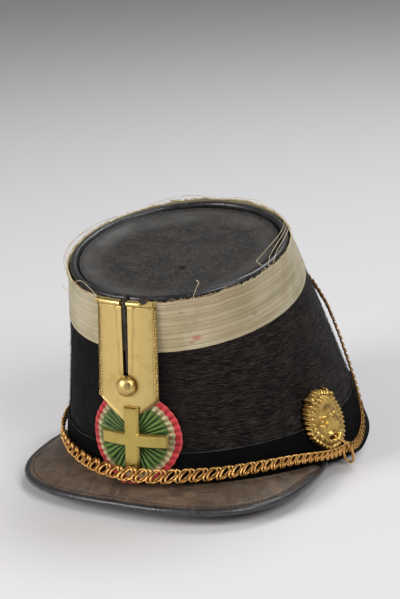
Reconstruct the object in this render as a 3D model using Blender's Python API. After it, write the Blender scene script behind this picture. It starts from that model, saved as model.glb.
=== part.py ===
"""A kepi: plush crown, ribbon band, leather top and peak, brass loop plate, cockade, cross,
two lion masks and a curb chain. Sizes are in millimetres until solid() makes the meshes, in metres.
The origin is under the middle of the hat, on the surface it rests on. The front, with the peak,
faces -Y, the wearer's left is +X and +Z is up. A bearing is an angle in degrees round the hat,
from 0 at the front to 90 at +X."""

import math

import bmesh
import bpy
import numpy as np

MM = 0.001
GAP = 0.3

# The crown's outer wall runs from an oval on the table to a smaller tilted oval.
BASE_HALF_WIDTH = 83.4
BASE_HALF_LENGTH = 102.3
TOP_HALF_WIDTH = 59.6
TOP_HALF_LENGTH = 59.9
TOP_FORWARD = 36.9
TOP_HEIGHT = 126.4
TOP_TILT = math.radians(10.9)
WAIST = -1.4
BACK_BULGE = 15.0
BULGE_POWER = 1.2
HAT_Y = 8.9
WALL = 2.0

# The lower rim is level behind, and arched over the forehead where the peak is sewn on.
ARCH_HEIGHT = 13.4
ARCH_REACH = 97.0
ARCH_FOOT = 1.15

BAND_WIDTH = 29.2
BAND_THICK = 1.0
HEAD_BAND_WIDTH = 31.6
COLUMNS = 60

RIM_RADIUS = 2.0
RIM_RISE = 0.5
RIM_INSET = 2.2
DISC_MARGIN = 0.8
DISC_THICK = 1.6
DISC_DISH = 4.5

PEAK_HALF_WIDTH = 83.9
PEAK_SHOULDER_Y = -46.5
PEAK_DEPTH = 74.8
PEAK_POWER = 2.75
PEAK_END_BEARING = 74.0
PEAK_END_OUT = 3.5
LEATHER_END_BEARING = 69.0
PEAK_ROOT_RISE = 1.6
PEAK_EDGE_HEIGHT = 9.8
PEAK_EDGE_TWIST = 1.4
PEAK_EDGE_DROOP = 1.8
PEAK_THICK = 2.0
PEAK_CAMBER = 0.6
PEAK_COLUMNS = 44
PEAK_ROOT_OUT = 1.9
EDGING_WIDTH = 2.6
EDGING_HALF_HEIGHT = 1.75

# Ornaments at the front, by distance from the middle and height above the table.
PLATE_HALF_WIDTH = 16.6
PLATE_TOP = 114.0
PLATE_SHOULDER = 60.5
PLATE_TIP = 47.5
PLATE_THICK = 1.0
PLATE_OUT_TOP = 1.6
PLATE_OUT_TIP = 4.7

# The plate's relief: its raised middle, its borders and, by the drop from its top, its rolled bar.
PANEL_RISE = 0.6
PANEL_STEP = 0.1
BORDER_RISE = 0.35
BORDER_WIDTH = 2.2
PANEL_HALF_TOP = 6.4
PANEL_NARROWING = 2.0
ROLL_SECTION = {0.0: 0.2, 0.6: 1.4, 1.6: 1.9, 2.6: 1.4, 3.2: 0.2}
ROLL_END_X = 9.0
SLOT_HALF_TOP = 1.8
SLOT_HALF_END = 1.4
SLOT_END = 73.5
BUTTON_X = 0.8
BUTTON_HEIGHT = 68.3
BUTTON_RADIUS = 5.6
BUTTON_DOME = 4.8
COCKADE_X = 2.0
COCKADE_HEIGHT = 39.8
COCKADE_RADIUS = 25.4
COCKADE_OUT_TOP = 1.6
COCKADE_OUT_LOW = 3.4
COCKADE_FOLD = 18.5
COCKADE_FOLD_OUT = 0.70
COCKADE_FOLD_DOWN = 0.72
COCKADE_THICK = 1.5
COCKADE_PLEATS = 30
CROSS_X = 3.0
CROSS_HEIGHT = 39.5
CROSS_HALF = 18.0
CROSS_SHORT_HALF = 16.2
CROSS_ARM_HALF = 3.8
CROSS_OUT = 6.2
CROSS_THICK = 1.8

# The lion masks at the sides, with the hooks that hold the chain.
BOSS_BEARING = {1: 80.0, -1: 86.0}
BOSS_HEIGHT = 31.0
BOSS_HALF_WIDTH = 16.5
BOSS_HALF_HEIGHT = 18.2
BOSS_OUT = 1.7
HOOK_BEARING = {1: 85.0, -1: 91.0}
HOOK_WIRE = 0.8
HOOK_HEIGHT = {1: 10.0, -1: 15.0}

# Link sizes at the middle of the chain's front run, and at the hooks and round the back.
LINK_PITCH = {"large": 7.9, "small": 3.9}
LINK_WIDTH = {"large": 8.8, "small": 5.4}
LINK_WIRE = {"large": 0.95, "small": 0.65}
LINK_SIZES = (LINK_PITCH, LINK_WIDTH, LINK_WIRE)
LINK_GROWTH = 1.7
LINK_SHEAR = -0.45
BEAD_WAIST = 0.74
BEAD_END = 0.55
BEAD_HEIGHT = 1.9

# The chain's route: bearing, height, distance out from the wall.
FRONT_ROUTE = [
    (-91.0, 15.0, 4.6),
    (-87.0, 15.8, 5.3),
    (-80.0, 18.2, 5.5),
    (-73.0, 20.0, 4.4),
    (-65.0, 21.0, 3.7),
    (-56.0, 21.6, 3.6),
    (-46.0, 22.0, 4.0),
    (-33.0, 22.0, 5.0),
    (-22.0, 22.0, 6.6),
    (-12.0, 22.0, 9.2),
    (0.0, 21.8, 10.9),
    (12.0, 21.4, 9.6),
    (22.0, 21.0, 6.8),
    (34.0, 20.4, 5.2),
    (50.0, 19.6, 4.6),
    (60.0, 17.8, 4.4),
    (67.0, 15.6, 5.0),
    (74.0, 12.8, 5.5),
    (81.0, 10.7, 5.3),
    (85.0, 10.0, 4.6),
]
BACK_ROUTE = [
    (-91.0, 15.0, 6.8),
    (-94.5, 12.7, 5.8),
    (-99.5, 13.0, 4.2),
    (-105.0, 16.2, 3.4),
    (-111.0, 22.0, 3.4),
    (-116.0, 31.0, 3.4),
    (-121.0, 44.0, 3.4),
    (-128.0, 60.0, 3.4),
    (-139.0, 75.0, 3.6),
    (-156.0, 86.0, 4.0),
    (-180.0, 90.0, 4.2),
    (-204.0, 86.0, 4.0),
    (-221.0, 75.0, 3.6),
    (-232.0, 60.0, 3.4),
    (-239.0, 44.0, 3.4),
    (-244.0, 31.0, 3.4),
    (-249.0, 20.0, 3.4),
    (-256.0, 11.5, 3.4),
    (-264.0, 8.0, 4.0),
    (-271.0, 8.4, 5.8),
    (-275.0, 10.0, 6.8),
]
BACK_HOOK_HEIGHT = 90.0

MATERIALS = {
    "plush": ((0.018, 0.016, 0.015), 0.85, 0.0),
    "velvet": ((0.008, 0.007, 0.008), 0.95, 0.0),
    "ribbon": ((0.62, 0.56, 0.40), 0.6, 0.0),
    "top_leather": ((0.035, 0.032, 0.030), 0.55, 0.0),
    "rim_leather": ((0.012, 0.014, 0.022), 0.25, 0.0),
    "peak_leather": ((0.060, 0.050, 0.042), 0.45, 0.0),
    "plate_brass": ((0.66, 0.50, 0.18), 0.3, 1.0),
    "gilt_brass": ((0.70, 0.46, 0.13), 0.3, 1.0),
    "cockade_ribbon": ((0.10, 0.30, 0.10), 0.6, 0.0),
}


def wall(bearing, t, out=0.0):
    """Points on the wall, t from 0 at the table to 1 at the top oval, moved out along its normal."""

    def surface(b, s):
        across = np.sin(b)
        along = -np.cos(b)
        swell = 4.0 * s * (1.0 - s)
        behind = np.maximum(along, 0.0) ** (1.0 + BULGE_POWER)
        top_y = TOP_HALF_LENGTH * along * math.cos(TOP_TILT) - TOP_FORWARD
        x = (BASE_HALF_WIDTH * (1.0 - s) + TOP_HALF_WIDTH * s + WAIST * swell) * across
        y = BASE_HALF_LENGTH * along * (1.0 - s) + top_y * s
        y = y + (WAIST * along + BACK_BULGE * behind) * swell + HAT_Y
        return np.stack([x, y, height_at_top(b) * s], axis=-1)

    b, s = np.broadcast_arrays(np.radians(np.asarray(bearing, float)), np.asarray(t, float))
    step = 1e-4
    round_way = surface(b + step, s) - surface(b - step, s)
    up_way = surface(b, s + step) - surface(b, s - step)
    normal = np.cross(round_way, up_way)
    normal = normal / np.linalg.norm(normal, axis=-1, keepdims=True)
    return surface(b, s) + normal * np.asarray(out, float)[..., None]


def height_at_top(radians):
    """Height of the top oval at a bearing given in radians."""
    return TOP_HEIGHT - TOP_HALF_LENGTH * np.cos(radians) * math.sin(TOP_TILT)


def wall_at(bearing, height, out=0.0):
    """Points on the wall at a height above the table."""
    return wall(bearing, np.asarray(height, float) / height_at_top(np.radians(bearing)), out)


def wall_length(bearing):
    """Length of the wall from the table to the top oval, straight up it."""
    return np.linalg.norm(wall(bearing, 1.0) - wall(bearing, 0.0), axis=-1)


def front_at(x, height, out):
    """Points on the front of the wall at a distance x from the middle and a height."""
    x, height = np.broadcast_arrays(np.asarray(x, float), np.asarray(height, float))
    t = height / height_at_top(0.0)
    half = BASE_HALF_WIDTH * (1.0 - t) + TOP_HALF_WIDTH * t + WAIST * 4.0 * t * (1.0 - t)
    return wall_at(np.degrees(np.arcsin(x / half)), height, out)


def rim_height(bearing):
    """Height of the crown's lower rim: level behind, rising from the sides over the forehead."""
    share = np.clip(np.abs(bearing) / ARCH_REACH, 0.0, 1.0)
    return ARCH_HEIGHT * (1.0 - share**3) ** ARCH_FOOT


def signed(bearings):
    """Bearings brought into -180 to 180."""
    return (np.asarray(bearings) + 180.0) % 360.0 - 180.0


def round_bearings(count=COLUMNS):
    return signed(np.arange(count) * 360.0 / count)


def solid(name, points, faces, material, smooth_angle=40.0):
    """Makes an object of its own from points in millimetres and faces, with faces turned outwards."""
    mesh = bpy.data.meshes.new(name)
    mesh.from_pydata([tuple(p) for p in np.asarray(points) * MM], [], [tuple(f) for f in faces])
    work = bmesh.new()
    work.from_mesh(mesh)
    bmesh.ops.recalc_face_normals(work, faces=work.faces)
    bmesh.ops.triangulate(work, faces=work.faces)
    work.to_mesh(mesh)
    work.free()
    mesh.shade_smooth()
    mesh.set_sharp_from_angle(angle=math.radians(smooth_angle))
    mesh.materials.append(finish(material))
    made = bpy.data.objects.new(name, mesh)
    bpy.context.scene.collection.objects.link(made)
    return made


def finish(name):
    """The material of that name, made once."""
    if name in bpy.data.materials:
        return bpy.data.materials[name]
    colour, roughness, metallic = MATERIALS[name]
    material = bpy.data.materials.new(name)
    material.use_nodes = True
    shader = material.node_tree.nodes["Principled BSDF"]
    shader.inputs["Base Color"].default_value = (*colour, 1.0)
    shader.inputs["Roughness"].default_value = roughness
    shader.inputs["Metallic"].default_value = metallic
    return material


def ring(name, loops, material):
    """A closed ring whose section is given loop by loop, each loop running round the hat."""
    loops = [np.asarray(loop) for loop in loops]
    count = len(loops[0])
    faces = []
    for i in range(len(loops)):
        j = (i + 1) % len(loops)
        for k in range(count):
            m = (k + 1) % count
            faces.append((i * count + k, i * count + m, j * count + m, j * count + k))
    return solid(name, np.concatenate(loops), faces, material)


def slab(name, front, back, cells, material):
    """A closed sheet between two layers of points: cells index both, and open edges are walled."""
    count = len(front)
    faces = [tuple(c) for c in cells] + [tuple(count + i for i in reversed(c)) for c in cells]
    edges = {}
    for c in cells:
        for i, j in zip(c, c[1:] + c[:1]):
            edges[(i, j)] = True
    for i, j in edges:
        if (j, i) not in edges:
            faces.append((j, i, count + i, count + j))
    return solid(name, np.concatenate([front, back]), faces, material)


def grid_cells(rows, columns, skip=()):
    """Cells of a grid of points, row by row. skip holds (row, column) cells that are left open."""
    cells = []
    for r in range(rows - 1):
        for c in range(columns - 1):
            if (r, c) not in skip:
                i = r * columns + c
                cells.append((i, i + 1, i + columns + 1, i + columns))
    return cells


def frames_along(path, up):
    """Unit tangent, side and up vectors along a path of points, from rough up vectors."""
    tangent = np.gradient(path, axis=0)
    tangent = tangent / np.linalg.norm(tangent, axis=1, keepdims=True)
    side = np.cross(tangent, up)
    side = side / np.linalg.norm(side, axis=1, keepdims=True)
    return tangent, side, np.cross(side, tangent)


def smooth_route(points, count):
    """Count evenly spaced points on a Catmull-Rom curve through the points."""
    points = np.asarray(points, float)
    padded = np.concatenate([[2 * points[0] - points[1]], points, [2 * points[-1] - points[-2]]])
    steps = np.linspace(0.0, 1.0, 21)[:-1, None]
    dense = []
    for a, b, c, d in zip(padded, padded[1:], padded[2:], padded[3:]):
        bend = (2 * a - 5 * b + 4 * c - d) * steps**2 + (3 * b - a - 3 * c + d) * steps**3
        dense.append(b + 0.5 * ((c - a) * steps + bend))
    dense = np.concatenate([*dense, points[-1:]])
    lengths = np.linalg.norm(np.diff(dense[:, :3], axis=0), axis=1)
    at = np.concatenate([[0.0], np.cumsum(lengths)])
    wanted = np.linspace(0.0, at[-1], count)
    return np.stack([np.interp(wanted, at, column) for column in dense.T], axis=1), at[-1]


def tube(name, path, radius, sides, material, up=(0.0, 0.0, 1.0)):
    """A round bar along a path, with flat ends."""
    path = np.asarray(path, float)
    tangent, side, above = frames_along(path, np.broadcast_to(np.asarray(up, float), path.shape))
    turns = np.arange(sides) * 2 * math.pi / sides
    points = []
    for p, s, a in zip(path, side, above):
        points.extend(p + radius * (math.cos(q) * s + math.sin(q) * a) for q in turns)
    faces = [tuple(range(sides)), tuple(reversed(range(len(points) - sides, len(points))))]
    for i in range(len(path) - 1):
        for k in range(sides):
            m = (k + 1) % sides
            faces.append((i * sides + k, i * sides + m, (i + 1) * sides + m, (i + 1) * sides + k))
    return solid(name, points, faces, material)


def clear_scene():
    for old in list(bpy.data.objects):
        bpy.data.objects.remove(old)


def make_crown_body():
    """The stiff plush-covered wall, open below."""
    b = round_bearings()
    low = rim_height(b) / height_at_top(np.radians(b))
    high = 1.0 - 3.6 / wall_length(b)
    shares = np.linspace(0.0, 1.0, 6)
    outer = [wall(b, low + (high - low) * s) for s in shares]
    inner = [wall(b, low + (high - low) * s, -WALL) for s in shares]
    outer[0][:, 2] = rim_height(b)
    inner[0][:, 2] = rim_height(b)
    ring("crown_body", outer + inner[::-1], "plush")


def make_head_band():
    """The smooth velvet strip round the lower edge."""
    b = round_bearings()
    low = rim_height(b) / height_at_top(np.radians(b))
    high = HEAD_BAND_WIDTH / wall_length(b)
    shares = (0.0, 0.5, 1.0)
    outer = [wall(b, low + (high - low) * s, GAP + BAND_THICK) for s in shares]
    inner = [wall(b, low + (high - low) * s, GAP) for s in shares]
    outer[0][:, 2] = rim_height(b)
    inner[0][:, 2] = rim_height(b)
    ring("head_band", outer + inner[::-1], "velvet")


def make_galloon_band():
    """The flat woven ribbon round the top of the crown."""
    b = round_bearings()
    low = 1.0 - BAND_WIDTH / wall_length(b)
    shares = (0.0, 0.5, 1.0)
    outer = [wall(b, low + (1.0 - low) * s, GAP + BAND_THICK) for s in shares]
    inner = [wall(b, low + (1.0 - low) * s, GAP) for s in shares]
    ring("galloon_band", outer + inner[::-1], "ribbon")


def make_crown_rim():
    """The rolled leather edge of the crown's top."""
    b = round_bearings()
    loops = []
    for turn in np.arange(6) * 2 * math.pi / 6:
        out = -RIM_INSET + RIM_RADIUS * math.cos(turn)
        rise = (RIM_RADIUS * math.sin(turn) - RIM_RADIUS + RIM_RISE) / wall_length(b)
        loops.append(wall(b, 1.0 + rise, out))
    ring("crown_rim", loops, "rim_leather")


def make_crown_top():
    """The dished leather disc inside the rim."""
    count = COLUMNS // 2
    b = round_bearings(count)
    edge = wall(b, 1.0, -RIM_INSET - RIM_RADIUS - DISC_MARGIN)
    centre = edge.mean(axis=0)
    down = -np.cross(edge[0] - centre, edge[count // 4] - centre)
    down = down / np.linalg.norm(down)
    down = down * (-1.0 if down[2] > 0 else 1.0)
    rings = [(1.0, 0.6), (0.93, 2.2), (0.80, 3.6), (0.50, DISC_DISH)]
    front = [centre + (edge - centre) * share + down * dip for share, dip in rings]
    front = np.concatenate(front + [[centre + down * DISC_DISH]])
    cells = []
    for r in range(len(rings) - 1):
        for k in range(count):
            m = (k + 1) % count
            cells.append((r * count + k, r * count + m, (r + 1) * count + m, (r + 1) * count + k))
    last = (len(rings) - 1) * count
    for k in range(count):
        cells.append((last + k, last + (k + 1) % count, len(rings) * count))
    slab("crown_top", front, front + down * DISC_THICK, cells, "top_leather")


def peak_root_height(bearing):
    """Height at which the peak meets the wall: just above the crown's lower rim."""
    return rim_height(bearing) + PEAK_ROOT_RISE


def peak_outline(count, inset, end_bearing):
    """Count points along the peak's edge, from -X round the front to +X, in plan, set in by inset."""
    u = np.linspace(math.pi, 0.0, 361)
    power = 2.0 / PEAK_POWER
    x = PEAK_HALF_WIDTH * np.sign(np.cos(u)) * np.abs(np.cos(u)) ** power
    y = PEAK_SHOULDER_Y - PEAK_DEPTH * np.abs(np.sin(u)) ** power + HAT_Y
    end = wall_at(PEAK_END_BEARING, peak_root_height(PEAK_END_BEARING), PEAK_END_OUT)
    knee = PEAK_SHOULDER_Y + HAT_Y + 0.55 * (end[1] - PEAK_SHOULDER_Y - HAT_Y)
    s = np.linspace(0.0, 1.0, 16)[1:]
    tail_x = PEAK_HALF_WIDTH * (1.0 - s**2) + end[0] * s**2
    tail_y = (PEAK_SHOULDER_Y + HAT_Y) * (1.0 - s) ** 2 + 2.0 * knee * s * (1.0 - s) + end[1] * s**2
    x = np.concatenate([-tail_x[::-1], x, tail_x])
    y = np.concatenate([tail_y[::-1], y, tail_y])
    along = np.stack([np.gradient(x), np.gradient(y)], axis=1)
    along = along / np.linalg.norm(along, axis=1, keepdims=True)
    x = x - along[:, 1] * inset
    y = y + along[:, 0] * inset
    bearing = np.degrees(np.arctan2(x / BASE_HALF_WIDTH, (HAT_Y - y) / BASE_HALF_LENGTH))
    kept = np.abs(bearing) <= end_bearing
    x, y = x[kept], y[kept]
    at = np.concatenate([[0.0], np.cumsum(np.hypot(np.diff(x), np.diff(y)))])
    wanted = np.linspace(0.0, at[-1], count)
    return np.interp(wanted, at, x), np.interp(wanted, at, y)


def peak_edge_height(x):
    """Height of the leather's edge: it droops to both sides, most at the wearer's right."""
    share = x / PEAK_HALF_WIDTH
    return PEAK_EDGE_HEIGHT + PEAK_EDGE_TWIST * share - PEAK_EDGE_DROOP * share**2


def make_peak():
    """The leather peak: a sheet from the arched root on the wall down to its outer edge."""
    columns = PEAK_COLUMNS + 1
    b = np.linspace(-LEATHER_END_BEARING, LEATHER_END_BEARING, columns)
    arch = 0.5 * (1.0 + np.cos(math.pi * b / LEATHER_END_BEARING))
    root = wall_at(b, peak_root_height(b), PEAK_ROOT_OUT)
    x, y = peak_outline(columns, EDGING_WIDTH + 0.5, LEATHER_END_BEARING)
    tip = np.stack([x, y, peak_edge_height(x)], axis=1)
    top = []
    for share in np.linspace(0.0, 1.0, 6):
        row = root + (tip - root) * share
        row[:, 2] += PEAK_CAMBER * 4.0 * share * (1.0 - share) * arch
        top.append(row)
    top = np.concatenate(top)
    slab("peak", top, top - (0.0, 0.0, PEAK_THICK), grid_cells(6, columns), "peak_leather")


def make_peak_edging():
    """The bound edge round the outside of the peak."""
    count = 61
    x, y = peak_outline(count, 0.0, 90.0)
    along = np.stack([np.gradient(x), np.gradient(y)], axis=1)
    along = along / np.linalg.norm(along, axis=1, keepdims=True)
    away = np.stack([along[:, 1], -along[:, 0]], axis=1)
    section = [(0.0, 0.0), (0.3, 0.8), (1.0, 1.0), (1.0, -1.0), (0.3, -0.8)]
    share = np.linspace(-1.0, 1.0, count)
    taper = 1.0 - 0.35 * np.clip((np.abs(share) - 0.88) / 0.12, 0.0, 1.0)
    middle = peak_edge_height(x) - 0.5 * PEAK_THICK
    points = []
    for i in range(count):
        for inward, rise in section:
            shift = -away[i] * inward * EDGING_WIDTH * taper[i]
            height = middle[i] + rise * EDGING_HALF_HEIGHT * taper[i]
            points.append((x[i] + shift[0], y[i] + shift[1], height))
    sides = len(section)
    faces = [tuple(range(sides)), tuple(reversed(range(len(points) - sides, len(points))))]
    for i in range(count - 1):
        for k in range(sides):
            m = (k + 1) % sides
            faces.append((i * sides + k, i * sides + m, (i + 1) * sides + m, (i + 1) * sides + k))
    solid("peak_edging", points, faces, "rim_leather")


def plate_out(height):
    """How far the plate's back stands off the wall: it rides over the band and the cockade."""
    share = (PLATE_TOP - height) / (PLATE_TOP - PLATE_TIP)
    return PLATE_OUT_TOP + (PLATE_OUT_TIP - PLATE_OUT_TOP) * share


def make_loop_plate():
    """The slotted brass plate with a rolled top, a raised middle and a pointed lower end."""
    rows = [PLATE_TOP - drop for drop in ROLL_SECTION]
    rows += [100.0, 88.0, SLOT_END, PLATE_SHOULDER + 2.0, PLATE_TIP]
    front, back = [], []
    for r, height in enumerate(rows):
        down = (PLATE_TOP - height) / (PLATE_TOP - SLOT_END)
        slot = SLOT_HALF_TOP + (SLOT_HALF_END - SLOT_HALF_TOP) * min(down, 1.0)
        ridge = PANEL_HALF_TOP - PANEL_NARROWING * min(down, 1.0)
        xs = [-PLATE_HALF_WIDTH, -PLATE_HALF_WIDTH + BORDER_WIDTH, -ridge - 0.8, -ridge, -slot]
        xs = xs + [-x for x in reversed(xs)]
        raised = [0.0, BORDER_RISE, PANEL_STEP, PANEL_RISE, PANEL_RISE]
        raised = raised + raised[::-1]
        for x, rise in zip(xs, raised):
            rolled = ROLL_SECTION.get(round(PLATE_TOP - height, 3), 0.0)
            rise = max(rise, rolled) if x < ROLL_END_X else min(rise, BORDER_RISE)
            rise = rise if height >= SLOT_END else min(rise, PANEL_STEP)
            z = height
            if r == len(rows) - 1:
                z = PLATE_TIP + (PLATE_SHOULDER - PLATE_TIP) * abs(x) / PLATE_HALF_WIDTH
            front.append(front_at(x, z, plate_out(z) + PLATE_THICK + rise))
            back.append(front_at(x, z, plate_out(z)))
    slot_rows = [r for r in range(len(rows) - 1) if rows[r + 1] >= SLOT_END]
    cells = grid_cells(len(rows), 10, {(r, 4) for r in slot_rows})
    slab("loop_plate", np.array(front), np.array(back), cells, "plate_brass")


def make_button():
    """The domed brass button at the end of the slot."""
    start = plate_out(BUTTON_HEIGHT) + PLATE_THICK + PANEL_RISE + 2 * GAP
    centre = front_at(BUTTON_X, BUTTON_HEIGHT, start)
    outward = front_at(BUTTON_X, BUTTON_HEIGHT, start + 1.0) - centre
    side = np.cross((0.0, 0.0, 1.0), outward)
    side = side / np.linalg.norm(side)
    up = np.cross(outward, side)
    profile = [(0.7, 0.0), (0.92, 0.12), (1.0, 0.35), (0.92, 0.62), (0.68, 0.86), (0.35, 0.97)]
    sides = 16
    points = [centre]
    for radius, rise in profile:
        for turn in np.arange(sides) * 2 * math.pi / sides:
            across = side * math.cos(turn) + up * math.sin(turn)
            points.append(centre + across * radius * BUTTON_RADIUS + outward * rise * BUTTON_DOME)
    points.append(centre + outward * BUTTON_DOME)
    faces = []
    for k in range(sides):
        m = (k + 1) % sides
        faces.append((0, 1 + m, 1 + k))
        for r in range(len(profile) - 1):
            a = 1 + r * sides
            faces.append((a + k, a + m, a + sides + m, a + sides + k))
        last = 1 + (len(profile) - 1) * sides
        faces.append((last + k, last + m, len(points) - 1))
    solid("button", points, faces, "plate_brass")


def cockade_out(height):
    """How far the cockade's back stands off the wall: its foot leans out over the peak's root."""
    share = (COCKADE_HEIGHT + COCKADE_RADIUS - height) / (2.0 * COCKADE_RADIUS)
    return COCKADE_OUT_TOP + (COCKADE_OUT_LOW - COCKADE_OUT_TOP) * share


def cockade_at(x, height, out):
    """Points on the cockade: below its fold it turns out over the peak, so it drops less."""
    below = np.maximum(COCKADE_FOLD - height, 0.0)
    lifted = height + below * (1.0 - COCKADE_FOLD_DOWN)
    return front_at(x, lifted, cockade_out(height) + out + below * COCKADE_FOLD_OUT)


def make_cockade():
    """The pleated ribbon disc under the plate."""
    count = COCKADE_PLEATS * 2
    turns = np.arange(count) * 2 * math.pi / count
    pleat = np.where(np.arange(count) % 2 == 0, 1.0, -1.0)
    front, back = [], []
    for share, wave in ((0.06, 0.0), (0.6, 0.25), (1.0, 0.25)):
        x = COCKADE_X + COCKADE_RADIUS * share * np.cos(turns)
        z = COCKADE_HEIGHT + COCKADE_RADIUS * share * np.sin(turns)
        front.append(cockade_at(x, z, COCKADE_THICK + wave * pleat))
        back.append(cockade_at(x, z, 0.0))
    front.append(cockade_at(COCKADE_X, COCKADE_HEIGHT, COCKADE_THICK)[None])
    back.append(cockade_at(COCKADE_X, COCKADE_HEIGHT, 0.0)[None])
    cells = []
    for r in range(2):
        for k in range(count):
            m = (k + 1) % count
            cells.append((r * count + k, r * count + m, (r + 1) * count + m, (r + 1) * count + k))
    for k in range(count):
        cells.append((3 * count, (k + 1) % count, k))
    slab("cockade", np.concatenate(front), np.concatenate(back), cells, "cockade_ribbon")


def make_cross():
    """The equal-armed brass cross, bent to the crown's curve."""
    up_stops = [-CROSS_HALF, -11.0, -CROSS_ARM_HALF, CROSS_ARM_HALF, 11.0, CROSS_HALF]
    x, z = np.meshgrid([-CROSS_SHORT_HALF, -10.0, *up_stops[2:]], up_stops)
    front = front_at(CROSS_X + x, CROSS_HEIGHT + z, CROSS_OUT + CROSS_THICK).reshape(-1, 3)
    back = front_at(CROSS_X + x, CROSS_HEIGHT + z, CROSS_OUT).reshape(-1, 3)
    corners = {(r, c) for r in range(5) for c in range(5) if r != 2 and c != 2}
    cells = grid_cells(6, 6, corners)
    used = sorted({i for c in cells for i in c})
    place = {i: k for k, i in enumerate(used)}
    cells = [tuple(place[i] for i in c) for c in cells]
    slab("cross", front[used], back[used], cells, "plate_brass")


def boss_height(side):
    """Height of a lion mask's middle: each one sits the same distance above its hook's bar."""
    return BOSS_HEIGHT + HOOK_HEIGHT[side] - HOOK_HEIGHT[1]


def make_lion_boss(side, name):
    """A lion's mask in relief: a scalloped mane round a face with brow, cheeks and muzzle."""
    count, rings = 28, (0.25, 0.5, 0.72, 0.88, 1.0)
    middle = side * BOSS_BEARING[side]
    across = wall_at(middle + 1.0, BOSS_HEIGHT) - wall_at(middle, BOSS_HEIGHT)
    degrees_per_mm = 1.0 / np.linalg.norm(across)
    turns = np.arange(count) * 2 * math.pi / count
    scallop = 1.0 + 0.05 * np.cos(turns * 14)

    def place(u, v, out):
        return wall_at(middle + u * degrees_per_mm, boss_height(side) + v, out)

    def relief(u, v):
        face = 3.4 * np.exp(-((u / 9.5) ** 2) - ((v - 1.0) / 12.0) ** 2)
        muzzle = 3.2 * np.exp(-((u / 5.5) ** 2) - ((v + 6.5) / 5.5) ** 2)
        brow = 1.0 * np.exp(-((u / 7.0) ** 2) - ((v - 5.0) / 2.5) ** 2)
        return 1.8 + face + muzzle + brow

    front, back = [], []
    for share in rings:
        u = BOSS_HALF_WIDTH * share * np.cos(turns) * (scallop if share > 0.8 else 1.0)
        v = BOSS_HALF_HEIGHT * share * np.sin(turns) * (scallop if share > 0.8 else 1.0)
        front.append(place(u, v, BOSS_OUT + relief(u, v) * (0.45 if share == 1.0 else 1.0)))
        back.append(place(u, v, BOSS_OUT))
    front.append(place(0.0, 0.0, BOSS_OUT + relief(0.0, 0.0))[None])
    back.append(place(0.0, 0.0, BOSS_OUT)[None])
    cells = []
    for r in range(len(rings) - 1):
        for k in range(count):
            m = (k + 1) % count
            cells.append((r * count + k, r * count + m, (r + 1) * count + m, (r + 1) * count + k))
    for k in range(count):
        cells.append((len(rings) * count, (k + 1) % count, k))
    slab(name, np.concatenate(front), np.concatenate(back), cells, "gilt_brass")


def make_chain_hook(side, name):
    """The wire hook below a mask: out of the mouth, down, in through the chain and back out below."""
    level = HOOK_HEIGHT[side]
    route = [(8.5, 8.6), (6.5, 9.4), (3.5, 9.6), (1.0, 9.2), (0.0, 7.8), (0.0, 5.6), (0.0, 3.9)]
    route += [(-0.9, 2.7), (-3.0, 2.4), (-5.6, 2.5), (-7.0, 3.6), (-7.1, 5.4), (-5.8, 6.6), (-4.2, 6.9)]
    bearing = side * HOOK_BEARING[side]
    path, _ = smooth_route([wall_at(bearing, level + rise, out) for rise, out in route], 22)
    along = wall_at(bearing + 1.0, level) - wall_at(bearing, level)
    tube(name, path, HOOK_WIRE, 6, "gilt_brass", up=along)


def make_chain_hook_back():
    """The plain wire hook that carries the chain behind the crown."""
    route = [(10.0, 1.2), (4.0, 1.2), (-2.5, 1.2), (-4.6, 2.4)]
    route += [(-4.9, 4.4), (-4.0, 6.6), (-1.0, 7.4), (2.0, 7.6)]
    path = [wall_at(180.0, BACK_HOOK_HEIGHT + rise, out) for rise, out in route]
    path, _ = smooth_route(path, 18)
    tube("chain_hook_back", path, 0.7, 6, "gilt_brass", up=(1.0, 0.0, 0.0))


def ring_link(centre, tangent, side, above, size):
    """Points and faces of one open oval link, lying flat: the eye that a hook goes through."""
    pitch, width, wire = size
    segments, sides = 10, 5
    phase = (np.arange(segments) + 0.5) * 2 * math.pi / segments
    u = (0.5 * pitch + 1.6 * wire) * np.cos(phase)
    v = (0.5 * width - wire) * np.sin(phase)
    line = centre + u[:, None] * tangent + v[:, None] * side
    ahead = np.roll(line, -1, axis=0) - np.roll(line, 1, axis=0)
    ahead = ahead / np.linalg.norm(ahead, axis=1, keepdims=True)
    points, faces = [], []
    turns = np.arange(sides) * 2 * math.pi / sides
    for p, forward in zip(line, ahead):
        out = np.cross(forward, above)
        points.extend(p + wire * (math.cos(q) * out + math.sin(q) * above) for q in turns)
    for i in range(segments):
        j = (i + 1) % segments
        for k in range(sides):
            m = (k + 1) % sides
            faces.append((i * sides + k, i * sides + m, j * sides + m, j * sides + k))
    return points, faces


def link_places(route, graduated):
    """Where each link's middle lies along a route, with its frame and its size."""
    surface = []
    for bearing, height, out in route:
        point = wall_at(bearing, height, out)
        surface.append(np.concatenate([point, wall_at(bearing, height, out + 1.0) - point]))
    steps = 600
    path, length = smooth_route(surface, steps + 1)
    tangent, side, above = frames_along(path[:, :3], path[:, 3:])

    def size_at(share):
        large = math.sin(math.pi * min(share, 1.0)) ** LINK_GROWTH if graduated else 0.0
        return [table["small"] + (table["large"] - table["small"]) * large for table in LINK_SIZES]

    stops = [0.0]
    while stops[-1] < length:
        stops.append(stops[-1] + size_at(stops[-1] / length)[0])
    shares = np.array(stops) / stops[-1]
    rows = [int(round(share * steps)) for share in shares]
    return [(path[i, :3], tangent[i], side[i], above[i], size_at(i / steps)) for i in rows]


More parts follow.
